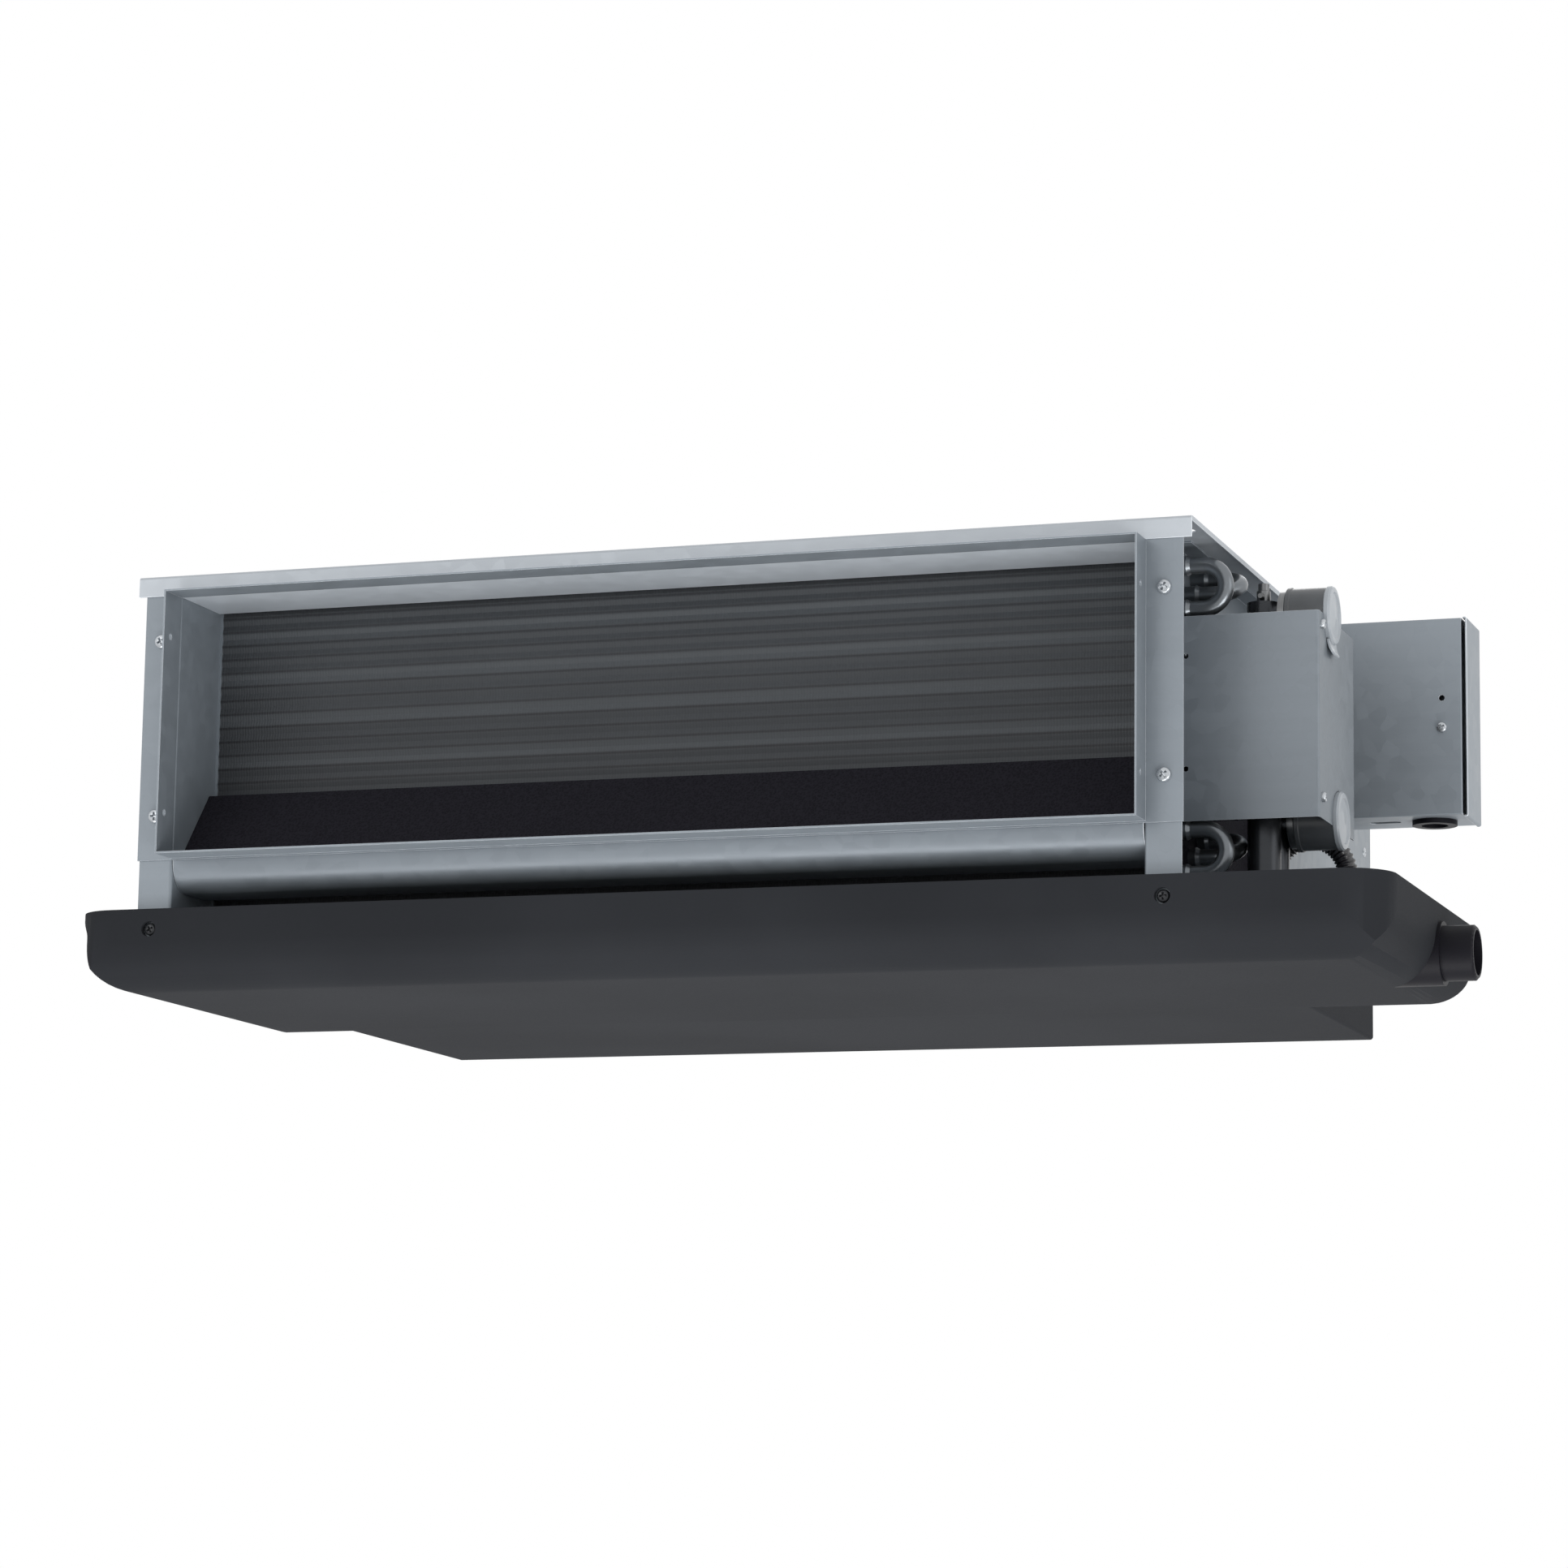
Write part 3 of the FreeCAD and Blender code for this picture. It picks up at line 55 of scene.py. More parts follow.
class Sock:
    """A node's output. Arithmetic on it adds Math nodes to the same tree."""

    def __init__(self, nodes, out):
        self.nodes = nodes
        self.out = out

    def math(self, how, *others):
        values = dict(enumerate((self,) + others))
        return self.nodes.node("ShaderNodeMath", {"operation": how}, values)

    def __add__(self, o):
        return self.math("ADD", o)

    def __mul__(self, o):
        return self.math("MULTIPLY", o)

    def __sub__(self, o):
        return self.math("SUBTRACT", o)

    def __rsub__(self, o):
        return self.nodes.node("ShaderNodeMath", {"operation": "SUBTRACT"}, {0: o, 1: self})

    __radd__ = __add__
    __rmul__ = __mul__

    def clamp(self):
        return self.nodes.node("ShaderNodeClamp", {}, {0: self})

    def ease(self, low, high):
        """Goes smoothly from 0 to 1 while the value goes from low to high."""
        return self.nodes.node("ShaderNodeMapRange", {"interpolation_type": "SMOOTHSTEP"},
                               {0: self, 1: low, 2: high})

    def stripe(self, start, full, fade, end):
        """One from full to fade, falling smoothly to zero at start and end."""
        return self.ease(start, full) * self.ease(end, fade)


class Nodes:
    """A node tree. One method adds a node of any type and returns one of its outputs."""

    def __init__(self, tree):
        self.tree = tree

    def node(self, kind, settings, inputs, out=0):
        made = self.tree.nodes.new(kind)
        for key, value in settings.items():
            setattr(made, key, value)
        for key, value in inputs.items():
            if isinstance(value, Sock):
                self.tree.links.new(value.out, made.inputs[key])
            else:
                made.inputs[key].default_value = value
        return Sock(self, made.outputs[out])


class Finish(Nodes):
    """A material with one Principled shader, whose socket values are given by name."""

    def __init__(self, name, **sockets):
        self.material = bpy.data.materials.new(name)
        self.material.use_nodes = True
        super().__init__(self.material.node_tree)
        self.shader = self.tree.nodes["Principled BSDF"]
        self.place = self.node("ShaderNodeTexCoord", {}, {}, "Object")
        self.set(**sockets)

    def set(self, **sockets):
        for key, value in sockets.items():
            socket = self.shader.inputs[key.replace("_", " ")]
            if isinstance(value, Sock):
                self.tree.links.new(value.out, socket)
            else:
                socket.default_value = value

    def stretched(self, x, y, z):
        return self.node("ShaderNodeMapping", {}, {"Vector": self.place, "Scale": (x, y, z)})

    def noise(self, scale, detail=3.0, rough=0.5, where=None):
        return self.node("ShaderNodeTexNoise", {}, {"Vector": where or self.place, "Scale": scale,
                                                    "Detail": detail, "Roughness": rough})

    def cells(self, scale, out):
        where = {"Vector": self.place, "Scale": scale}
        return self.node("ShaderNodeTexVoronoi", {"feature": "F1"}, where, out)

    def axis(self, name):
        return self.node("ShaderNodeSeparateXYZ", {}, {0: self.place}, name)

    def repeats(self, name, pitch):
        """How far a point lies through its repeat along an axis, from 0 to 1. The pitch is in metres."""
        return (self.axis(name) * (1 / pitch)).math("FRACT")

    def blend(self, factor, dark, light):
        """Mixes two colours."""
        colours = {0: factor, 6: (*dark, 1), 7: (*light, 1)}
        return self.node("ShaderNodeMix", {"data_type": "RGBA"}, colours, 2)

    def bump(self, height, distance):
        self.set(Normal=self.node("ShaderNodeBump", {}, {"Height": height, "Distance": distance}))


# finishes

FLAKES_PER_METRE = 120.0
ROLLING = (6, 160, 160)       # streaks run along X
SHEET_RELIEF = 0.00006


def zinc(name, dark, light, rough=0.42, spangle=1.0, metal=0.3):
    """Zinc-coated sheet: faint crystal flakes, rolling streaks and dull clouds."""
    f = Finish(name, Metallic=metal)
    flake = f.node("ShaderNodeSeparateColor", {}, {0: f.cells(FLAKES_PER_METRE, "Color")})
    streaks = f.noise(1.0, 4, 0.6, f.stretched(*ROLLING))
    clouds = f.noise(9.0, 3)
    tone = (flake - 0.5) * (0.20 * spangle) + (streaks - 0.5) * 0.3 + (clouds - 0.5) * 0.5 + 0.5
    f.set(Base_Color=f.blend(tone.clamp(), dark, light),
          Roughness=(clouds - 0.5) * 0.16 + (flake - 0.5) * (0.10 * spangle) + rough)
    f.bump(flake * 0.4 + streaks * 0.6, SHEET_RELIEF)
    return f


def mottled(name, dark, light, scale, detail, rough, relief=0.0, **sockets):
    """A moulded or painted finish, whose colour and gloss follow one fine noise, as its relief may."""
    f = Finish(name, **sockets)
    mottle = f.noise(scale, detail)
    f.set(Base_Color=f.blend(mottle, dark, light), Roughness=mottle * 0.2 + rough)
    if relief:
        f.bump(mottle, relief)
    return f


sheet = zinc("galvanised", (0.160, 0.182, 0.204), (0.240, 0.270, 0.300))
# a lighter copy of the galvanised sheet for the top panel: painted light on its shaded underside
top_sheet_painted_light = zinc("top_zinc_painted_light", (0.37, 0.40, 0.43), (0.47, 0.50, 0.535))
# a lighter copy of the galvanised sheet for the outlet's soffit: painted light on a face that looks down into
# shade
soffit_sheet_painted_light = zinc("soffit_zinc_painted_light", (0.46, 0.50, 0.54), (0.57, 0.61, 0.655))
# a darker copy of the galvanised sheet for the pipe bracket: painted shade
bracket_sheet_painted_shade = zinc("bracket_zinc_painted_shade", (0.142, 0.162, 0.182), (0.214, 0.241, 0.268))
# a lighter copy of the galvanised sheet for the terminal box and its cover: painted light
box_sheet_painted_light = zinc("box_zinc_painted_light", (0.186, 0.211, 0.236), (0.278, 0.312, 0.346))
# bright faces on the sheets' rounded edges: a painted highlight
edge_highlight = zinc("galvanised_edge_highlight", (0.64, 0.68, 0.72), (0.84, 0.88, 0.92), 0.30, 0.3, 0.4)
screw_zinc = zinc("zinc_screws", (0.35, 0.37, 0.39), (0.62, 0.65, 0.68), 0.28, 0.2, 0.8)
screw_black = zinc("black_screws", (0.016, 0.017, 0.020), (0.030, 0.032, 0.036), 0.32, 0.2)
tube_metal = zinc("coil_tubes", (0.12, 0.13, 0.14), (0.24, 0.26, 0.28), 0.30, 0.2, 0.8)
# near-black headers: painted shade for the dark under the pipe bracket
header_metal_painted_shade = zinc("header_tubes_painted_shade", (0.026, 0.028, 0.032), (0.060, 0.064, 0.070), 0.28, 0.2, 0.8)
wheel = zinc("wheel_sheet", (0.30, 0.32, 0.34), (0.50, 0.53, 0.55), 0.34, 0.3)
turned_steel = zinc("ground_steel", (0.34, 0.35, 0.36), (0.52, 0.54, 0.55), 0.24, 0.1)

moulded = mottled("black_plastic", (0.0050, 0.0049, 0.0070), (0.0105, 0.0101, 0.0138), 1800.0, 2, 0.36,
                  0.00003, Specular_IOR_Level=0.12)
cap_skirt = mottled("cap_skirt", (0.045, 0.050, 0.055), (0.085, 0.092, 0.100), 60.0, 4, 0.24)
cap_grey = mottled("cap_plastic", (0.27, 0.295, 0.32), (0.37, 0.40, 0.43), 60.0, 4, 0.3, Coat_Weight=0.2)
motor_paint = mottled("motor_paint", (0.014, 0.014, 0.016), (0.026, 0.026, 0.029), 260.0, 2, 0.25,
                      0.0001, Coat_Weight=0.25)
rubber = mottled("black_rubber", (0.012, 0.012, 0.012), (0.030, 0.030, 0.031), 90.0, 4, 0.65,
                 Specular_IOR_Level=0.3)
rim_plastic = mottled("filter_rim", (0.040, 0.041, 0.044), (0.062, 0.063, 0.067), 700.0, 2, 0.4)
sleeve_plastic = mottled("sleeve_plastic", (0.010, 0.009, 0.012), (0.020, 0.019, 0.024), 300.0, 3, 0.2,
                         Coat_Weight=0.4)

coat = Finish("pan_coating", Specular_IOR_Level=0.06)
grain = coat.noise(1400.0, 2)
patches = coat.noise(5.0, 4).ease(0.3, 0.7)
coat.set(Base_Color=coat.blend(patches, (0.0175, 0.0188, 0.0218), (0.0220, 0.0236, 0.0272)),
         Roughness=grain * 0.18 + 0.62)
coat.bump(grain, 0.00004)

# black foam over the coil ends; its black also paints the shade under the pipe bracket
foam = Finish("black_foam", Specular_IOR_Level=0.12, Roughness=0.9)
pores = foam.cells(700.0, "Distance")
foam.set(Base_Color=foam.blend(pores.ease(0.1, 0.7), (0.0065, 0.0062, 0.0090), (0.0140, 0.0132, 0.0180)))
foam.bump(pores, 0.0002)

nickel = Finish("nickel_brass", Metallic=1.0)
tool_marks = nickel.noise(1.0, 3, 0.5, nickel.stretched(900, 60, 60))
nickel.set(Base_Color=nickel.blend(tool_marks, (0.11, 0.113, 0.117), (0.25, 0.255, 0.26)),
           Roughness=tool_marks * 0.2 + 0.22)

LAMINATION = 0.000625
laminated = Finish("laminated_steel", Metallic=0.8, Roughness=0.45)
layer = laminated.repeats("X", LAMINATION).ease(0.0, 0.5)
laminated.set(Base_Color=laminated.blend(layer, (0.10, 0.10, 0.11), (0.25, 0.25, 0.26)))

MESH_PITCH = 0.002
net = Finish("filter_net", Roughness=0.7)
warp = net.repeats("X", MESH_PITCH).stripe(0.0, 0.2, 0.4, 0.6)
weft = net.repeats("Z", MESH_PITCH).stripe(0.0, 0.2, 0.4, 0.6)
thread = (warp + weft).clamp()
net.set(Base_Color=net.blend(thread, (0.012, 0.012, 0.014), (0.075, 0.077, 0.082)))
net.bump(thread, 0.0003)

# coil face: dark fins on edge, eight tube rows of three ripples each, and painted shade, darker towards the
# bottom
TUBE_PITCH, TUBES_PER_ROW, COIL_TOP = 25.4, 8, -8.0
RIPPLES_PER_TUBE, RIPPLE_DEEP = 3, 1.1
FIN_PITCH = 0.0018
fins = Finish("coil_fins", Metallic=0.25)
height = (fins.axis("Z") * -1000.0 + COIL_TOP) * (1 / TUBE_PITCH)
edge = fins.repeats("X", FIN_PITCH).stripe(0.0, 0.35, 0.65, 1.0)
crest = (height * RIPPLES_PER_TUBE).math("FRACT").stripe(0.0, 0.16, 0.84, 1.0)
band = height.math("FRACT").stripe(0.62, 0.78, 0.92, 1.0)
# a random mottle, and painted shade that darkens the face steadily towards the bottom
mottle_and_painted_shade = (fins.noise(14.0, 4) - 0.5) * 0.2 + 0.125 - height * 0.046
tone = crest * 0.45 + band * 0.34 + edge * 0.03 + mottle_and_painted_shade
fins.set(Base_Color=fins.blend(tone.clamp(), (0.016, 0.017, 0.020), (0.072, 0.079, 0.086)),
         Roughness=0.62 - edge * 0.05)
fins.bump(edge * 0.15 + crest * 0.6, 0.0006)


# making and keeping pieces

def keep(bm, name, finish, body="casing", smooth=35, turn=True):
    """Closes a bmesh into a piece that rides on a body. Edges sharper than smooth, in degrees, show."""
    if turn:
        bmesh.ops.recalc_face_normals(bm, faces=bm.faces)
    mesh = bpy.data.meshes.new(name)
    bm.to_mesh(mesh)
    bm.free()
    piece = bpy.data.objects.new(name, mesh)
    bpy.context.collection.objects.link(piece)
    mesh.materials.append(finish.material)
    mesh.shade_smooth()
    mesh.set_sharp_from_angle(angle=math.radians(smooth))
    leaning = piece.modifiers.new("leaning", "WEIGHTED_NORMAL")
    leaning.mode = "FACE_AREA"
    leaning.keep_sharp = True
    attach(piece, body)
    return piece


def add(bm, part, where):
    """Puts a small finished shape into a mesh at its place."""
    bmesh.ops.transform(part, matrix=where, verts=part.verts)
    step = bpy.data.meshes.new("step")
    part.to_mesh(step)
    part.free()
    bm.from_mesh(step)
    bpy.data.meshes.remove(step)


def pointing(direction, place):
    """Carries a piece drawn along +Z to a place, pointing along a direction."""
    return Matrix.Translation(place) @ Vector(direction).to_track_quat("Z", "Y").to_matrix().to_4x4()


def edges_in(geom):
    return [e for e in geom if isinstance(e, bmesh.types.BMEdge)]


def verts_in(geom):
    return [v for v in geom if isinstance(v, bmesh.types.BMVert)]


def edges_at(verts):
    return list({e for v in verts for e in v.link_edges})


def verts_of(edges):
    return list({v for e in edges for v in e.verts})


def drawn_out(bm, edges, shift):
    """Extrudes a loop of edges by a shift, and returns the new loop."""
    made = bmesh.ops.extrude_edge_only(bm, edges=edges)["geom"]
    verts = set(verts_in(made))
    bmesh.ops.translate(bm, vec=shift, verts=list(verts))
    return [e for e in edges_in(made) if verts.issuperset(e.verts)]


TUBE_SIDES = 20


def lathe(outline, sides=TUBE_SIDES):
    """Turns an outline of (height, radius) points, in millimetres, about the Z axis."""
    part = bmesh.new()
    points = [part.verts.new((radius / 1000, 0, height / 1000)) for height, radius in outline]
    edges = [part.edges.new(pair) for pair in zip(points, points[1:])]
    bmesh.ops.spin(part, geom=points + edges, cent=(0, 0, 0), axis=(0, 0, 1), angle=math.tau, steps=sides,
                   use_merge=True)
    bmesh.ops.remove_doubles(part, verts=part.verts, dist=1e-6)
    return part


EDGE_ROUND = 0.0004
SHEET_EDGE, TAIL_EDGE = 50, 40        # degrees from which an edge counts as sharp


def soften(bm, angle):
    """Rounds the edges of a merged mesh that turn by more than an angle, and returns the new faces."""
    edges = [e for e in bm.edges if len(e.link_faces) == 2 and e.calc_face_angle(0) > math.radians(angle)]
    return bmesh.ops.bevel(bm, geom=edges, offset=EDGE_ROUND, offset_type="OFFSET", segments=2, profile=0.5,
                           affect="EDGES", clamp_overlap=True, material=-1)["faces"]


# the solids and what stands in for them

slots = {s["node"]: s["material_slot"] for s in frame["record"]["subparts"]}
body_of = {n: b for b, names in frame["record"]["behaviour"]["bodies"].items() for n in names}
looks = {"galvanised": sheet, "zinc_screw": screw_zinc, "black_foam": foam, "fin_aluminium": fins,
         "coil_tube": tube_metal, "brass_fitting": nickel, "grey_cap": cap_grey, "pan_coat": coat,
         "black_plastic": moulded, "wheel_metal": wheel, "bright_steel": turned_steel,
         "motor_paint": motor_paint, "core_steel": laminated, "black_rubber": rubber,
         "filter_plastic": rim_plastic, "filter_net": net}


def merged(node):
    """The shape of a CAD node as one closed mesh, with its flat faces whole."""
    bm = bmesh.new()
    bm.from_mesh(frame["nodes"][node].data)
    bmesh.ops.remove_doubles(bm, verts=bm.verts, dist=1e-6)
    bmesh.ops.dissolve_limit(bm, angle_limit=math.radians(1), verts=bm.verts, edges=bm.edges)
    return bm


def smoothed(node, finish):
    """Stands in for a node: the same shape, shaded smoothly where it is round."""
    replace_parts(keep(merged(node), node + "_round", finish, body_of[node], turn=False), node)


def folded(node, finish):
    """Stands in for a sheet node: the same shape, with its cut edges rounded and painted bright as a
    highlight.
    """
    bm = merged(node)
    # the rounded edges take the bright finish, a painted highlight
    for face in soften(bm, SHEET_EDGE):
        face.material_index = 1
    piece = keep(bm, node + "_sheet", finish, body_of[node], turn=False)
    piece.data.materials.append(edge_highlight.material)
    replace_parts(piece, node)


for node, solid in frame["nodes"].items():
    solid.data.materials.clear()
    solid.data.materials.append(looks[slots[node]].material)

SHEETS = {top_sheet_painted_light: ("top_panel",),
          soffit_sheet_painted_light: ("outlet_soffit",),
          bracket_sheet_painted_shade: ("pipe_bracket",),
          sheet: ("side_panel_left", "side_panel_right", "outlet_frame", "outlet_sill",
                  "fan_section_side_left", "fan_section_side_right", "rear_frame"),
          box_sheet_painted_light: ("terminal_box", "terminal_box_cover")}
for finish, nodes in SHEETS.items():
    for node in nodes:
        folded(node, finish)

ROUND_ONES = ("drain_pan", "pan_insulation", "drain_spigot", "return_header", "supply_header",
              "water_sockets", "air_vent", "air_vent_screw", "cable_grommet", "fan_shaft", "motor_shell",
              "motor_rings", "motor_stator", "scroll_left", "scroll_right", "impeller_left", "impeller_right")
# the headers take the near-black tube finish, painted shade
for node in ROUND_ONES:
    smoothed(node, header_metal_painted_shade if node.endswith("header") else looks[slots[node]])


# coil

COIL_FRONT, COIL_BACK, COIL_LOW, COIL_HALF = 55.0, 121.0, -211.2, 296.0


def fin_pack():
    """The fins seen as one block, with ripples across its front and back."""
    bm = bmesh.new()
    pitch = TUBE_PITCH / RIPPLES_PER_TUBE
    count = round((COIL_TOP - COIL_LOW) / pitch)
    front, back = [], []
    for i in range(2 * count + 1):
        z = COIL_TOP - i * pitch / 2
        deep = RIPPLE_DEEP * (i % 2)
        front.append(bm.verts.new(at(-COIL_HALF, COIL_FRONT + deep, z)))
        back.append(bm.verts.new(at(-COIL_HALF, COIL_BACK - deep, z)))
    end_face = bm.faces.new(front + back[::-1])
    across = bmesh.ops.extrude_face_region(bm, geom=[end_face])["geom"]
    bmesh.ops.translate(bm, vec=(2 * COIL_HALF / 1000, 0, 0), verts=verts_in(across))
    bmesh.ops.holes_fill(bm, edges=[e for e in bm.edges if e.is_boundary])
    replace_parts(keep(bm, "fin_pack", fins, smooth=20), "coil_core")


fin_pack()

FOAM_STOPS = -46.1


def short_foam(node):
    """Stands in for the foam over a coil end, whose black also paints the shade under the bracket. The sheet
    above it is bare, down to behind the bracket.
    """
    bm = merged(node)
    bmesh.ops.bisect_plane(bm, geom=bm.verts[:] + bm.edges[:] + bm.faces[:], plane_co=at(0, 0, FOAM_STOPS),
                           plane_no=(0, 0, 1), clear_outer=True)
    bmesh.ops.holes_fill(bm, edges=[e for e in bm.edges if e.is_boundary])
    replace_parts(keep(bm, node + "_short", foam, turn=False), node)


for node in ("end_insulation_left", "end_insulation_right"):
    short_foam(node)

TUBE_SHEET_X = 297.5
TUBE_R, STUB, BELL_R, BELL, BEND_STEPS = 4.76, 18.0, 5.5, 9.0, 14
# each row's place in depth, and how far its first tube lies below the coil's top, in pitches
ROW_Y, ROW_DROP = (66.0, 88.0, 110.0), (0.25, 0.75, 0.25)


def tube_end(side, row, k):
    """Where tube k of a row, counted from the top, leaves the tube sheet."""
    return at(side * TUBE_SHEET_X, ROW_Y[row], COIL_TOP - TUBE_PITCH * (k + ROW_DROP[row]))


def return_bend(side, start, end):
    """A half turn of tube between two tube ends, with the belled ends that it is brazed into."""
    part = bmesh.new()
    outward = Vector((side, 0, 0))
    stub = outward * STUB / 1000
    lying = Matrix.Rotation(math.pi / 2, 4, "Y")
    bmesh.ops.create_circle(part, segments=TUBE_SIDES, radius=TUBE_R / 1000,
                            matrix=Matrix.Translation(start) @ lying)
    loop = drawn_out(part, list(part.edges), stub)
    turn_axis = outward.cross(end - start).normalized()
    made = bmesh.ops.spin(part, geom=loop, cent=(start + end) / 2 + stub, axis=turn_axis, angle=math.pi,
                          steps=BEND_STEPS)
    drawn_out(part, edges_in(made["geom_last"]), -stub)
    for foot in (start, end):
        bell = lathe([(0, TUBE_R), (0, BELL_R), (BELL - 1.5, BELL_R), (BELL - 0.6, BELL_R + 0.5),
                      (BELL, BELL_R + 0.1), (BELL + 1.6, TUBE_R)])
        add(part, bell, pointing(outward, foot))
    return part


bends = bmesh.new()
for high in range(0, TUBES_PER_ROW, 2):
    low = high + 1
    # the side of the coil, and the row and tube at both ends of each bend
    for side, first, last in ((1, (0, high), (0, low)), (1, (1, high), (2, high)), (-1, (0, high), (1, high)),
                              (-1, (0, low), (1, low)), (-1, (2, high), (2, low))):
        add(bends, return_bend(side, tube_end(side, *first), tube_end(side, *last)), Matrix())
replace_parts(keep(bends, "bend_tubes", tube_metal), "return_bends")


# black sleeve at the pan's end

SLEEVE_Y, SLEEVE_X, SLEEVE_FOOT, SLEEVE_TOP = 134.0, (340.0, 383.0), -243.8, -185.5
SLEEVE_R, RIB_DEEP, RIB_PITCH, RINGS_PER_RIB = 6.0, 0.9, 2.8, 4


def ribbed_sleeve():
    """A corrugated tube: up one leg, over a half circle and down the other leg."""
    bm = bmesh.new()
    leg = SLEEVE_TOP - SLEEVE_FOOT
    arch = (SLEEVE_X[1] - SLEEVE_X[0]) / 2
    middle = (SLEEVE_X[0] + SLEEVE_X[1]) / 2
    length = 2 * leg + math.pi * arch
    rings = RINGS_PER_RIB * round(length / RIB_PITCH)
    before = None
    for i in range(rings + 1):
        run = length * i / rings
        if run < leg:
            x, z, heading = SLEEVE_X[0], SLEEVE_FOOT + run, (0, 0, 1)
        elif run < length - leg:
            turned_by = (run - leg) / arch
            x = middle - arch * math.cos(turned_by)
            z = SLEEVE_TOP + arch * math.sin(turned_by)
            heading = (math.sin(turned_by), 0, math.cos(turned_by))
        else:
            x, z, heading = SLEEVE_X[1], SLEEVE_FOOT + length - run, (0, 0, -1)
        in_groove = i % RINGS_PER_RIB < RINGS_PER_RIB / 2
        radius = SLEEVE_R - RIB_DEEP if in_groove else SLEEVE_R
        ring = bmesh.ops.create_circle(bm, segments=TUBE_SIDES, radius=radius / 1000,
                                       cap_ends=i in (0, rings),
                                       matrix=pointing(heading, at(x, SLEEVE_Y, z)))["verts"]
        loop = edges_at(ring)
        if before:
            bmesh.ops.bridge_loops(bm, edges=before + loop)
        before = loop
    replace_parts(keep(bm, "ribbed_sleeve", sleeve_plastic, smooth=60), "lead_sleeve")


ribbed_sleeve()


# transit caps on the water sockets

CAP_R, CAP_X0, CAP_X1, SOCKET_FIT = 17.0, 360.0, 387.0, 15.0
CAP_AT = ((88.0, -43.0), (110.0, -158.0))
CAP_SIDES = 48
CAP_FACE = 4.4                # depth of the pale end
TAIL_WIDE, TAIL_THICK, TAIL_TUCK = 20.0, 1.4, 2.0
# steps of the tongue: outwards, downwards, and how much narrower it gets
TAIL_STEPS = ((0.2, 2, 0.97), (0.6, 2.4, 0.95), (0.9, 2, 0.92), (0.8, 1.4, 0.85), (0.4, 0.7, 0.7))


def transit_cap():
    """A soft cap: rolled open rim, plain skirt, and an end face with a raised ring."""
    long = CAP_X1 - CAP_X0
    rolled_rim = [(0, SOCKET_FIT), (0, CAP_R - 0.6), (0.6, CAP_R), (2.6, CAP_R), (3.2, CAP_R - 0.7)]
    corner = [(long - 4.2, CAP_R - 0.9), (long - 3.6, CAP_R - 0.1), (long - 1.6, CAP_R - 0.1),
              (long - 0.5, CAP_R - 0.9)]
    end_ring = [(long - 0.2, CAP_R - 2.2), (long - 0.2, CAP_R - 3.6), (long - 1.0, CAP_R - 4.4)]
    end_face = [(long - 1.0, CAP_R - 9.0), (long - 0.4, 4.0), (long - 0.3, 0)]
    inside = [(long - 3.2, 0), (long - 3.2, SOCKET_FIT), (0, SOCKET_FIT)]
    part = lathe(rolled_rim + corner + end_ring + end_face + inside, CAP_SIDES)
    for face in part.faces:
        if face.calc_center_median().z > (long - CAP_FACE) / 1000:
            face.material_index = 1
    return part


def tear_tail():
    """The tongue that hangs from a cap, by which it is pulled off."""
    part = bmesh.new()
    half = TAIL_WIDE / 2000
    loop = [part.edges.new([part.verts.new((0, -half, 0)), part.verts.new((0, half, 0))])]
    for out, down, narrower in TAIL_STEPS:
        loop = drawn_out(part, loop, (out / 1000, 0, -down / 1000))
        bmesh.ops.scale(part, vec=(1, narrower, 1), verts=verts_of(loop))
    bmesh.ops.solidify(part, geom=list(part.faces), thickness=TAIL_THICK / 1000)
    soften(part, TAIL_EDGE)
    for face in part.faces:
        face.material_index = 1
    return part


caps = bmesh.new()
for y, z in CAP_AT:
    add(caps, transit_cap(), pointing((1, 0, 0), at(CAP_X0, y, z)))
tail_y, cap_z = CAP_AT[0]
add(caps, tear_tail(), Matrix.Translation(at(CAP_X1 - TAIL_TUCK, tail_y, cap_z - CAP_R + TAIL_TUCK)))
transit_caps = keep(caps, "transit_caps", cap_skirt)
transit_caps.data.materials.append(cap_grey.material)
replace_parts(transit_caps, "water_caps")


# screws

# shares of a head's radius: the recess's arms, their half width, and the flat top
CROSS_ARM, CROSS_HALF, HEAD_FLAT = 0.58, 0.17, 0.8
# shares of a head's height: the recess's depth, and the flat top's edge
CROSS_DEEP, FLAT_EDGE = 0.75, 0.93
CROSS_NARROWS = 0.55          # the recess's floor, as a share of its mouth
# the head's side below the flat top, in shares of its radius and height
HEAD_SIDE = ((0.96, 0.66), (1.0, 0.30), (1.0, 0.0))
HEAD_SIDES = 24


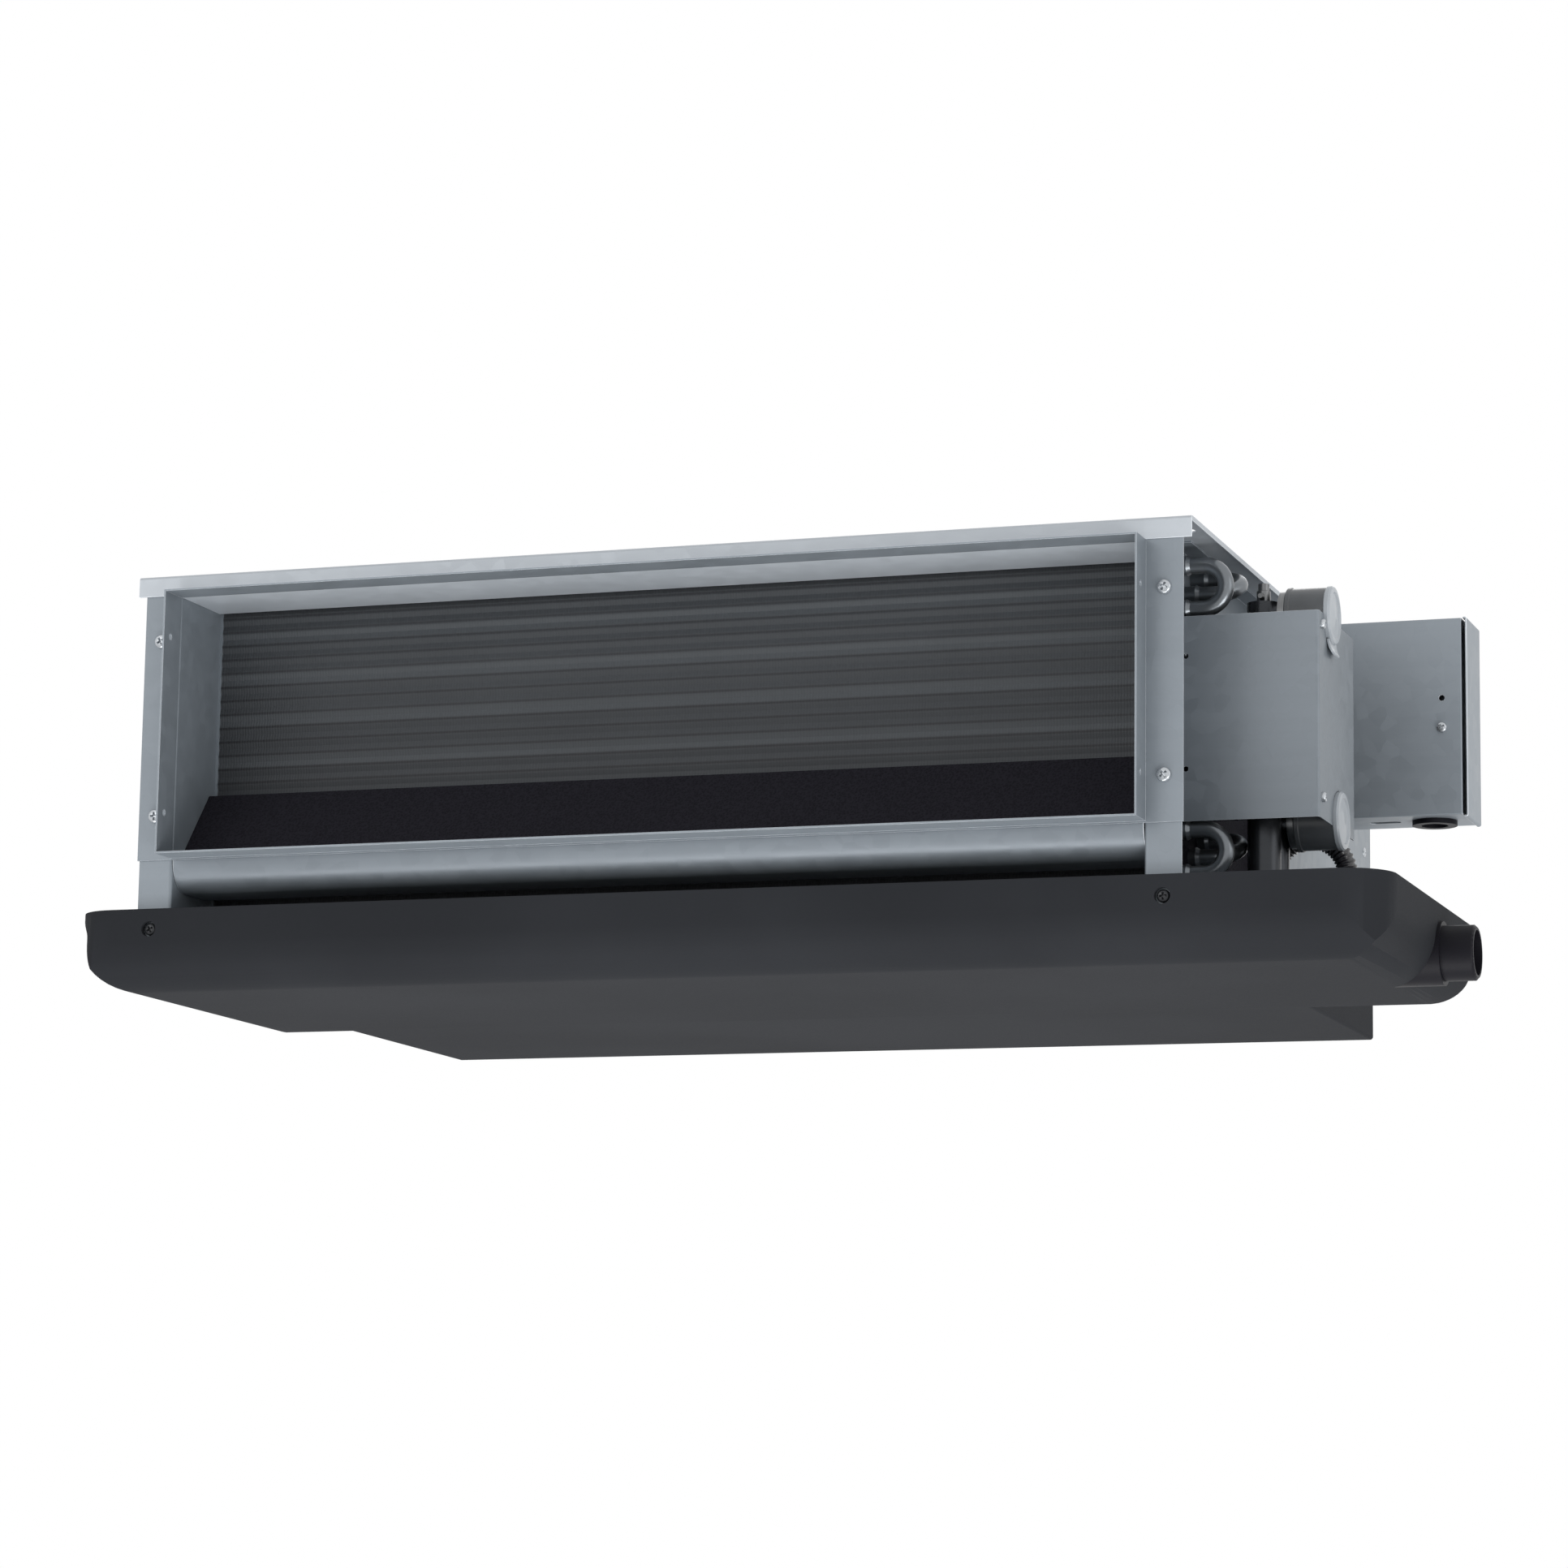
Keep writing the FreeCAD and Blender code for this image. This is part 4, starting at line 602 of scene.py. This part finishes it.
def pan_head(radius, height):
    """A pan head with a cross recess, drawn from a plus and a ring. Sizes are in metres."""
    part = bmesh.new()
    arm, half = radius * CROSS_ARM, radius * CROSS_HALF
    corners = [(half, half), (half, arm), (-half, arm), (-half, half), (-arm, half), (-arm, -half),
               (-half, -half), (-half, -arm), (half, -arm), (half, -half), (arm, -half), (arm, half)]
    plus = [part.verts.new((x, y, height)) for x, y in corners]
    for i in range(len(plus)):
        part.edges.new((plus[i - 1], plus[i]))
    bmesh.ops.subdivide_edges(part, edges=list(part.edges), cuts=1)
    rim = list(part.edges)
    ring = bmesh.ops.create_circle(part, segments=HEAD_SIDES, radius=radius * HEAD_FLAT,
                                   matrix=Matrix.Translation((0, 0, height * FLAT_EDGE)))["verts"]
    outer = edges_at(ring)
    bmesh.ops.bridge_loops(part, edges=rim + outer)
    floor = drawn_out(part, rim, (0, 0, -height * CROSS_DEEP))
    bmesh.ops.scale(part, vec=(CROSS_NARROWS, CROSS_NARROWS, 1), verts=verts_of(floor))
    bmesh.ops.contextual_create(part, geom=floor)
    for wide, high in HEAD_SIDE:
        outer = drawn_out(part, outer, (0, 0, 0))
        for v in verts_of(outer):
            flat = Vector((v.co.x, v.co.y, 0)).normalized() * radius * wide
            v.co = (flat.x, flat.y, height * high)
    bmesh.ops.contextual_create(part, geom=outer)
    return part


FRONTWARD, RIGHTWARD = (0, -1, 0), (1, 0, 0)
FIRST_TURN, TURN_STEP = 0.5, 1.1      # how each next screw of a group has stopped, in radians


def screws(name, node, heads, finish):
    """Stands in for a node of screws, each a head at a place: place, direction, (radius, height)."""
    bm = bmesh.new()
    for i, (place, direction, (radius, height)) in enumerate(heads):
        turned = Matrix.Rotation(FIRST_TURN + TURN_STEP * i, 4, "Z")
        add(bm, pan_head(radius / 1000, height / 1000), pointing(direction, at(*place)) @ turned)
    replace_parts(keep(bm, name, finish, smooth=50), node)


FLANGE_X, FLANGE_Z, FLANGE_HEAD = 309.0, (-40.0, -146.0), (4.2, 2.6)
PAN_SCREW_Y, PAN_SCREW_Z, PAN_HEAD = -0.2, -214.0, (3.8, 2.4)
BRACKET_FOOT_X, BRACKET_FOOT_Y, BRACKET_FOOT_Z, FOOT_HEAD = 299.5, 50.0, (-68.0, -133.0), (3.4, 2.2)
BRACKET_WALL_X, BRACKET_WALL_Y, BRACKET_WALL_Z, WALL_HEAD = 383.5, 66.5, (-52.0, -151.0), (2.9, 2.2)
BOX_SCREW, BOX_HEAD = (415.0, 254.0, -80.0), (3.2, 2.2)

screws("flange_screw_heads", "outlet_screws",
       [((s * FLANGE_X, 0, z), FRONTWARD, FLANGE_HEAD) for s in (-1, 1) for z in FLANGE_Z], screw_zinc)
screws("pan_screw_heads", "pan_screws",
       [((s * FLANGE_X, PAN_SCREW_Y, PAN_SCREW_Z), FRONTWARD, PAN_HEAD) for s in (-1, 1)], screw_black)
screws("bracket_screw_heads", "bracket_screws",
       [((BRACKET_FOOT_X, BRACKET_FOOT_Y, z), RIGHTWARD, FOOT_HEAD) for z in BRACKET_FOOT_Z]
       + [((BRACKET_WALL_X, BRACKET_WALL_Y, z), RIGHTWARD, WALL_HEAD) for z in BRACKET_WALL_Z], screw_zinc)
screws("box_screw_head", "terminal_box_screw", [(BOX_SCREW, FRONTWARD, BOX_HEAD)], screw_zinc)


# rivets of the fan section, on its sides and round the air inlet

RIVET_R, RIVET_H, PIN_HOLE_Z = 3.2, 1.1, 0.4
RIVET_Z = (-38.0, -119.0, -200.0)
CASE_HALF, REAR_Y, FRAME_RIVET_X = 320.0, 498.0, 299.0
# the filter's slot takes the rear rivets' place on the left side
SIDE_RIVET_Y = {-1: (322.0,), 1: (322.0, 478.0)}


def rivet():
    """A blind rivet: a low dome with the hole that its pin leaves."""
    return lathe([(0, RIVET_R), (0.45, RIVET_R * 0.96), (0.85, RIVET_R * 0.72), (RIVET_H, RIVET_R * 0.42),
                  (RIVET_H - 0.1, RIVET_R * 0.32), (PIN_HOLE_Z, RIVET_R * 0.28), (PIN_HOLE_Z, 0)])


rivets = bmesh.new()
for z in RIVET_Z:
    for side, places in SIDE_RIVET_Y.items():
        add(rivets, rivet(), pointing((0, 1, 0), at(side * FRAME_RIVET_X, REAR_Y, z)))
        for y in places:
            add(rivets, rivet(), pointing((side, 0, 0), at(side * CASE_HALF, y, z)))
keep(rivets, "casing_rivets", screw_zinc)


# camera, light and ground

def look_from(place, yaw, pitch, roll, lens):
    """A camera aimed by its angles, in degrees."""
    yaw, pitch, roll = map(math.radians, (yaw, pitch, roll))
    ahead = Vector((-math.sin(yaw) * math.cos(pitch), math.cos(yaw) * math.cos(pitch), math.sin(pitch)))
    right = Vector((math.cos(yaw), math.sin(yaw), 0))
    up = right.cross(ahead)
    across = right * math.cos(roll) + up * math.sin(roll)
    upward = up * math.cos(roll) - right * math.sin(roll)
    camera = bpy.data.objects.new("camera", bpy.data.cameras.new("camera"))
    camera.data.lens = lens
    camera.data.sensor_width = 36
    camera.data.clip_end = 50
    camera.matrix_world = Matrix.Translation(place) @ Matrix((across, upward, -ahead)).transposed().to_4x4()
    bpy.context.collection.objects.link(camera)
    bpy.context.scene.camera = camera


look_from(at(940.9, -2463.7, -577.3), yaw=19.12, pitch=9.47, roll=0.853, lens=106.8)


def softbox(name, place, aim, size, power):
    """An area lamp, in watts, that the camera doesn't see."""
    lamp = bpy.data.lights.new(name, "AREA")
    lamp.shape = "RECTANGLE"
    lamp.size, lamp.size_y = size
    lamp.energy = power
    box = bpy.data.objects.new(name, lamp)
    box.location = place
    box.visible_camera = False
    box.rotation_euler = (Vector(aim) - Vector(place)).to_track_quat("-Z", "Y").to_euler()
    bpy.context.collection.objects.link(box)


softbox("front_light", (-1.6, -3.2, 0.9), (0, 0, -0.1), (2.2, 1.6), 18)
softbox("side_light", (3.0, -0.6, 0.6), (0.3, 0, -0.1), (1.4, 1.4), 6)
softbox("right_light", (2.2, -1.6, -1.5), (0.3, 0, -0.1), (1.4, 1.2), 30)
softbox("low_light", (-0.2, -1.1, -2.1), (0, 0, -0.1), (2.4, 1.2), 36)
softbox("back_light", (-0.6, 2.8, 1.6), (0, 0, 0), (2.4, 1.4), 12)

# the studio lights the part at this level, and is white where the camera, glass or gloss shows it
STUDIO_LEVEL = 0.86
world = bpy.data.worlds.new("studio")
bpy.context.scene.world = world
world.use_nodes = True
sky = Nodes(world.node_tree)
camera_ray, clear_ray, gloss_ray = (sky.node("ShaderNodeLightPath", {}, {}, kind) for kind in
                                    ("Is Camera Ray", "Is Transmission Ray", "Is Glossy Ray"))
seen = camera_ray.math("MAXIMUM", clear_ray).math("MAXIMUM", gloss_ray)
level = sky.node("ShaderNodeMapRange", {}, {0: seen, 3: STUDIO_LEVEL})
background = world.node_tree.nodes["Background"]
world.node_tree.links.new(level.out, background.inputs["Strength"])
background.inputs["Color"].default_value = (1, 1, 1, 1)

FLOOR_Z, FLOOR_HALF = -2.4, 9
bm = bmesh.new()
bmesh.ops.create_grid(bm, x_segments=2, y_segments=2, size=FLOOR_HALF,
                      matrix=Matrix.Translation((0, 0, FLOOR_Z)))
floor_mesh = bpy.data.meshes.new("floor")
bm.to_mesh(floor_mesh)
bm.free()
floor_piece = bpy.data.objects.new("floor", floor_mesh)
bpy.context.collection.objects.link(floor_piece)
floor_paint = Finish("floor_paint", Roughness=0.9)
shade = floor_paint.noise(0.6, 2)
floor_paint.set(Base_Color=floor_paint.blend(shade, (0.80, 0.80, 0.80), (0.84, 0.84, 0.84)))
floor_mesh.materials.append(floor_paint.material)
bpy.context.scene.view_settings.view_transform = "Standard"
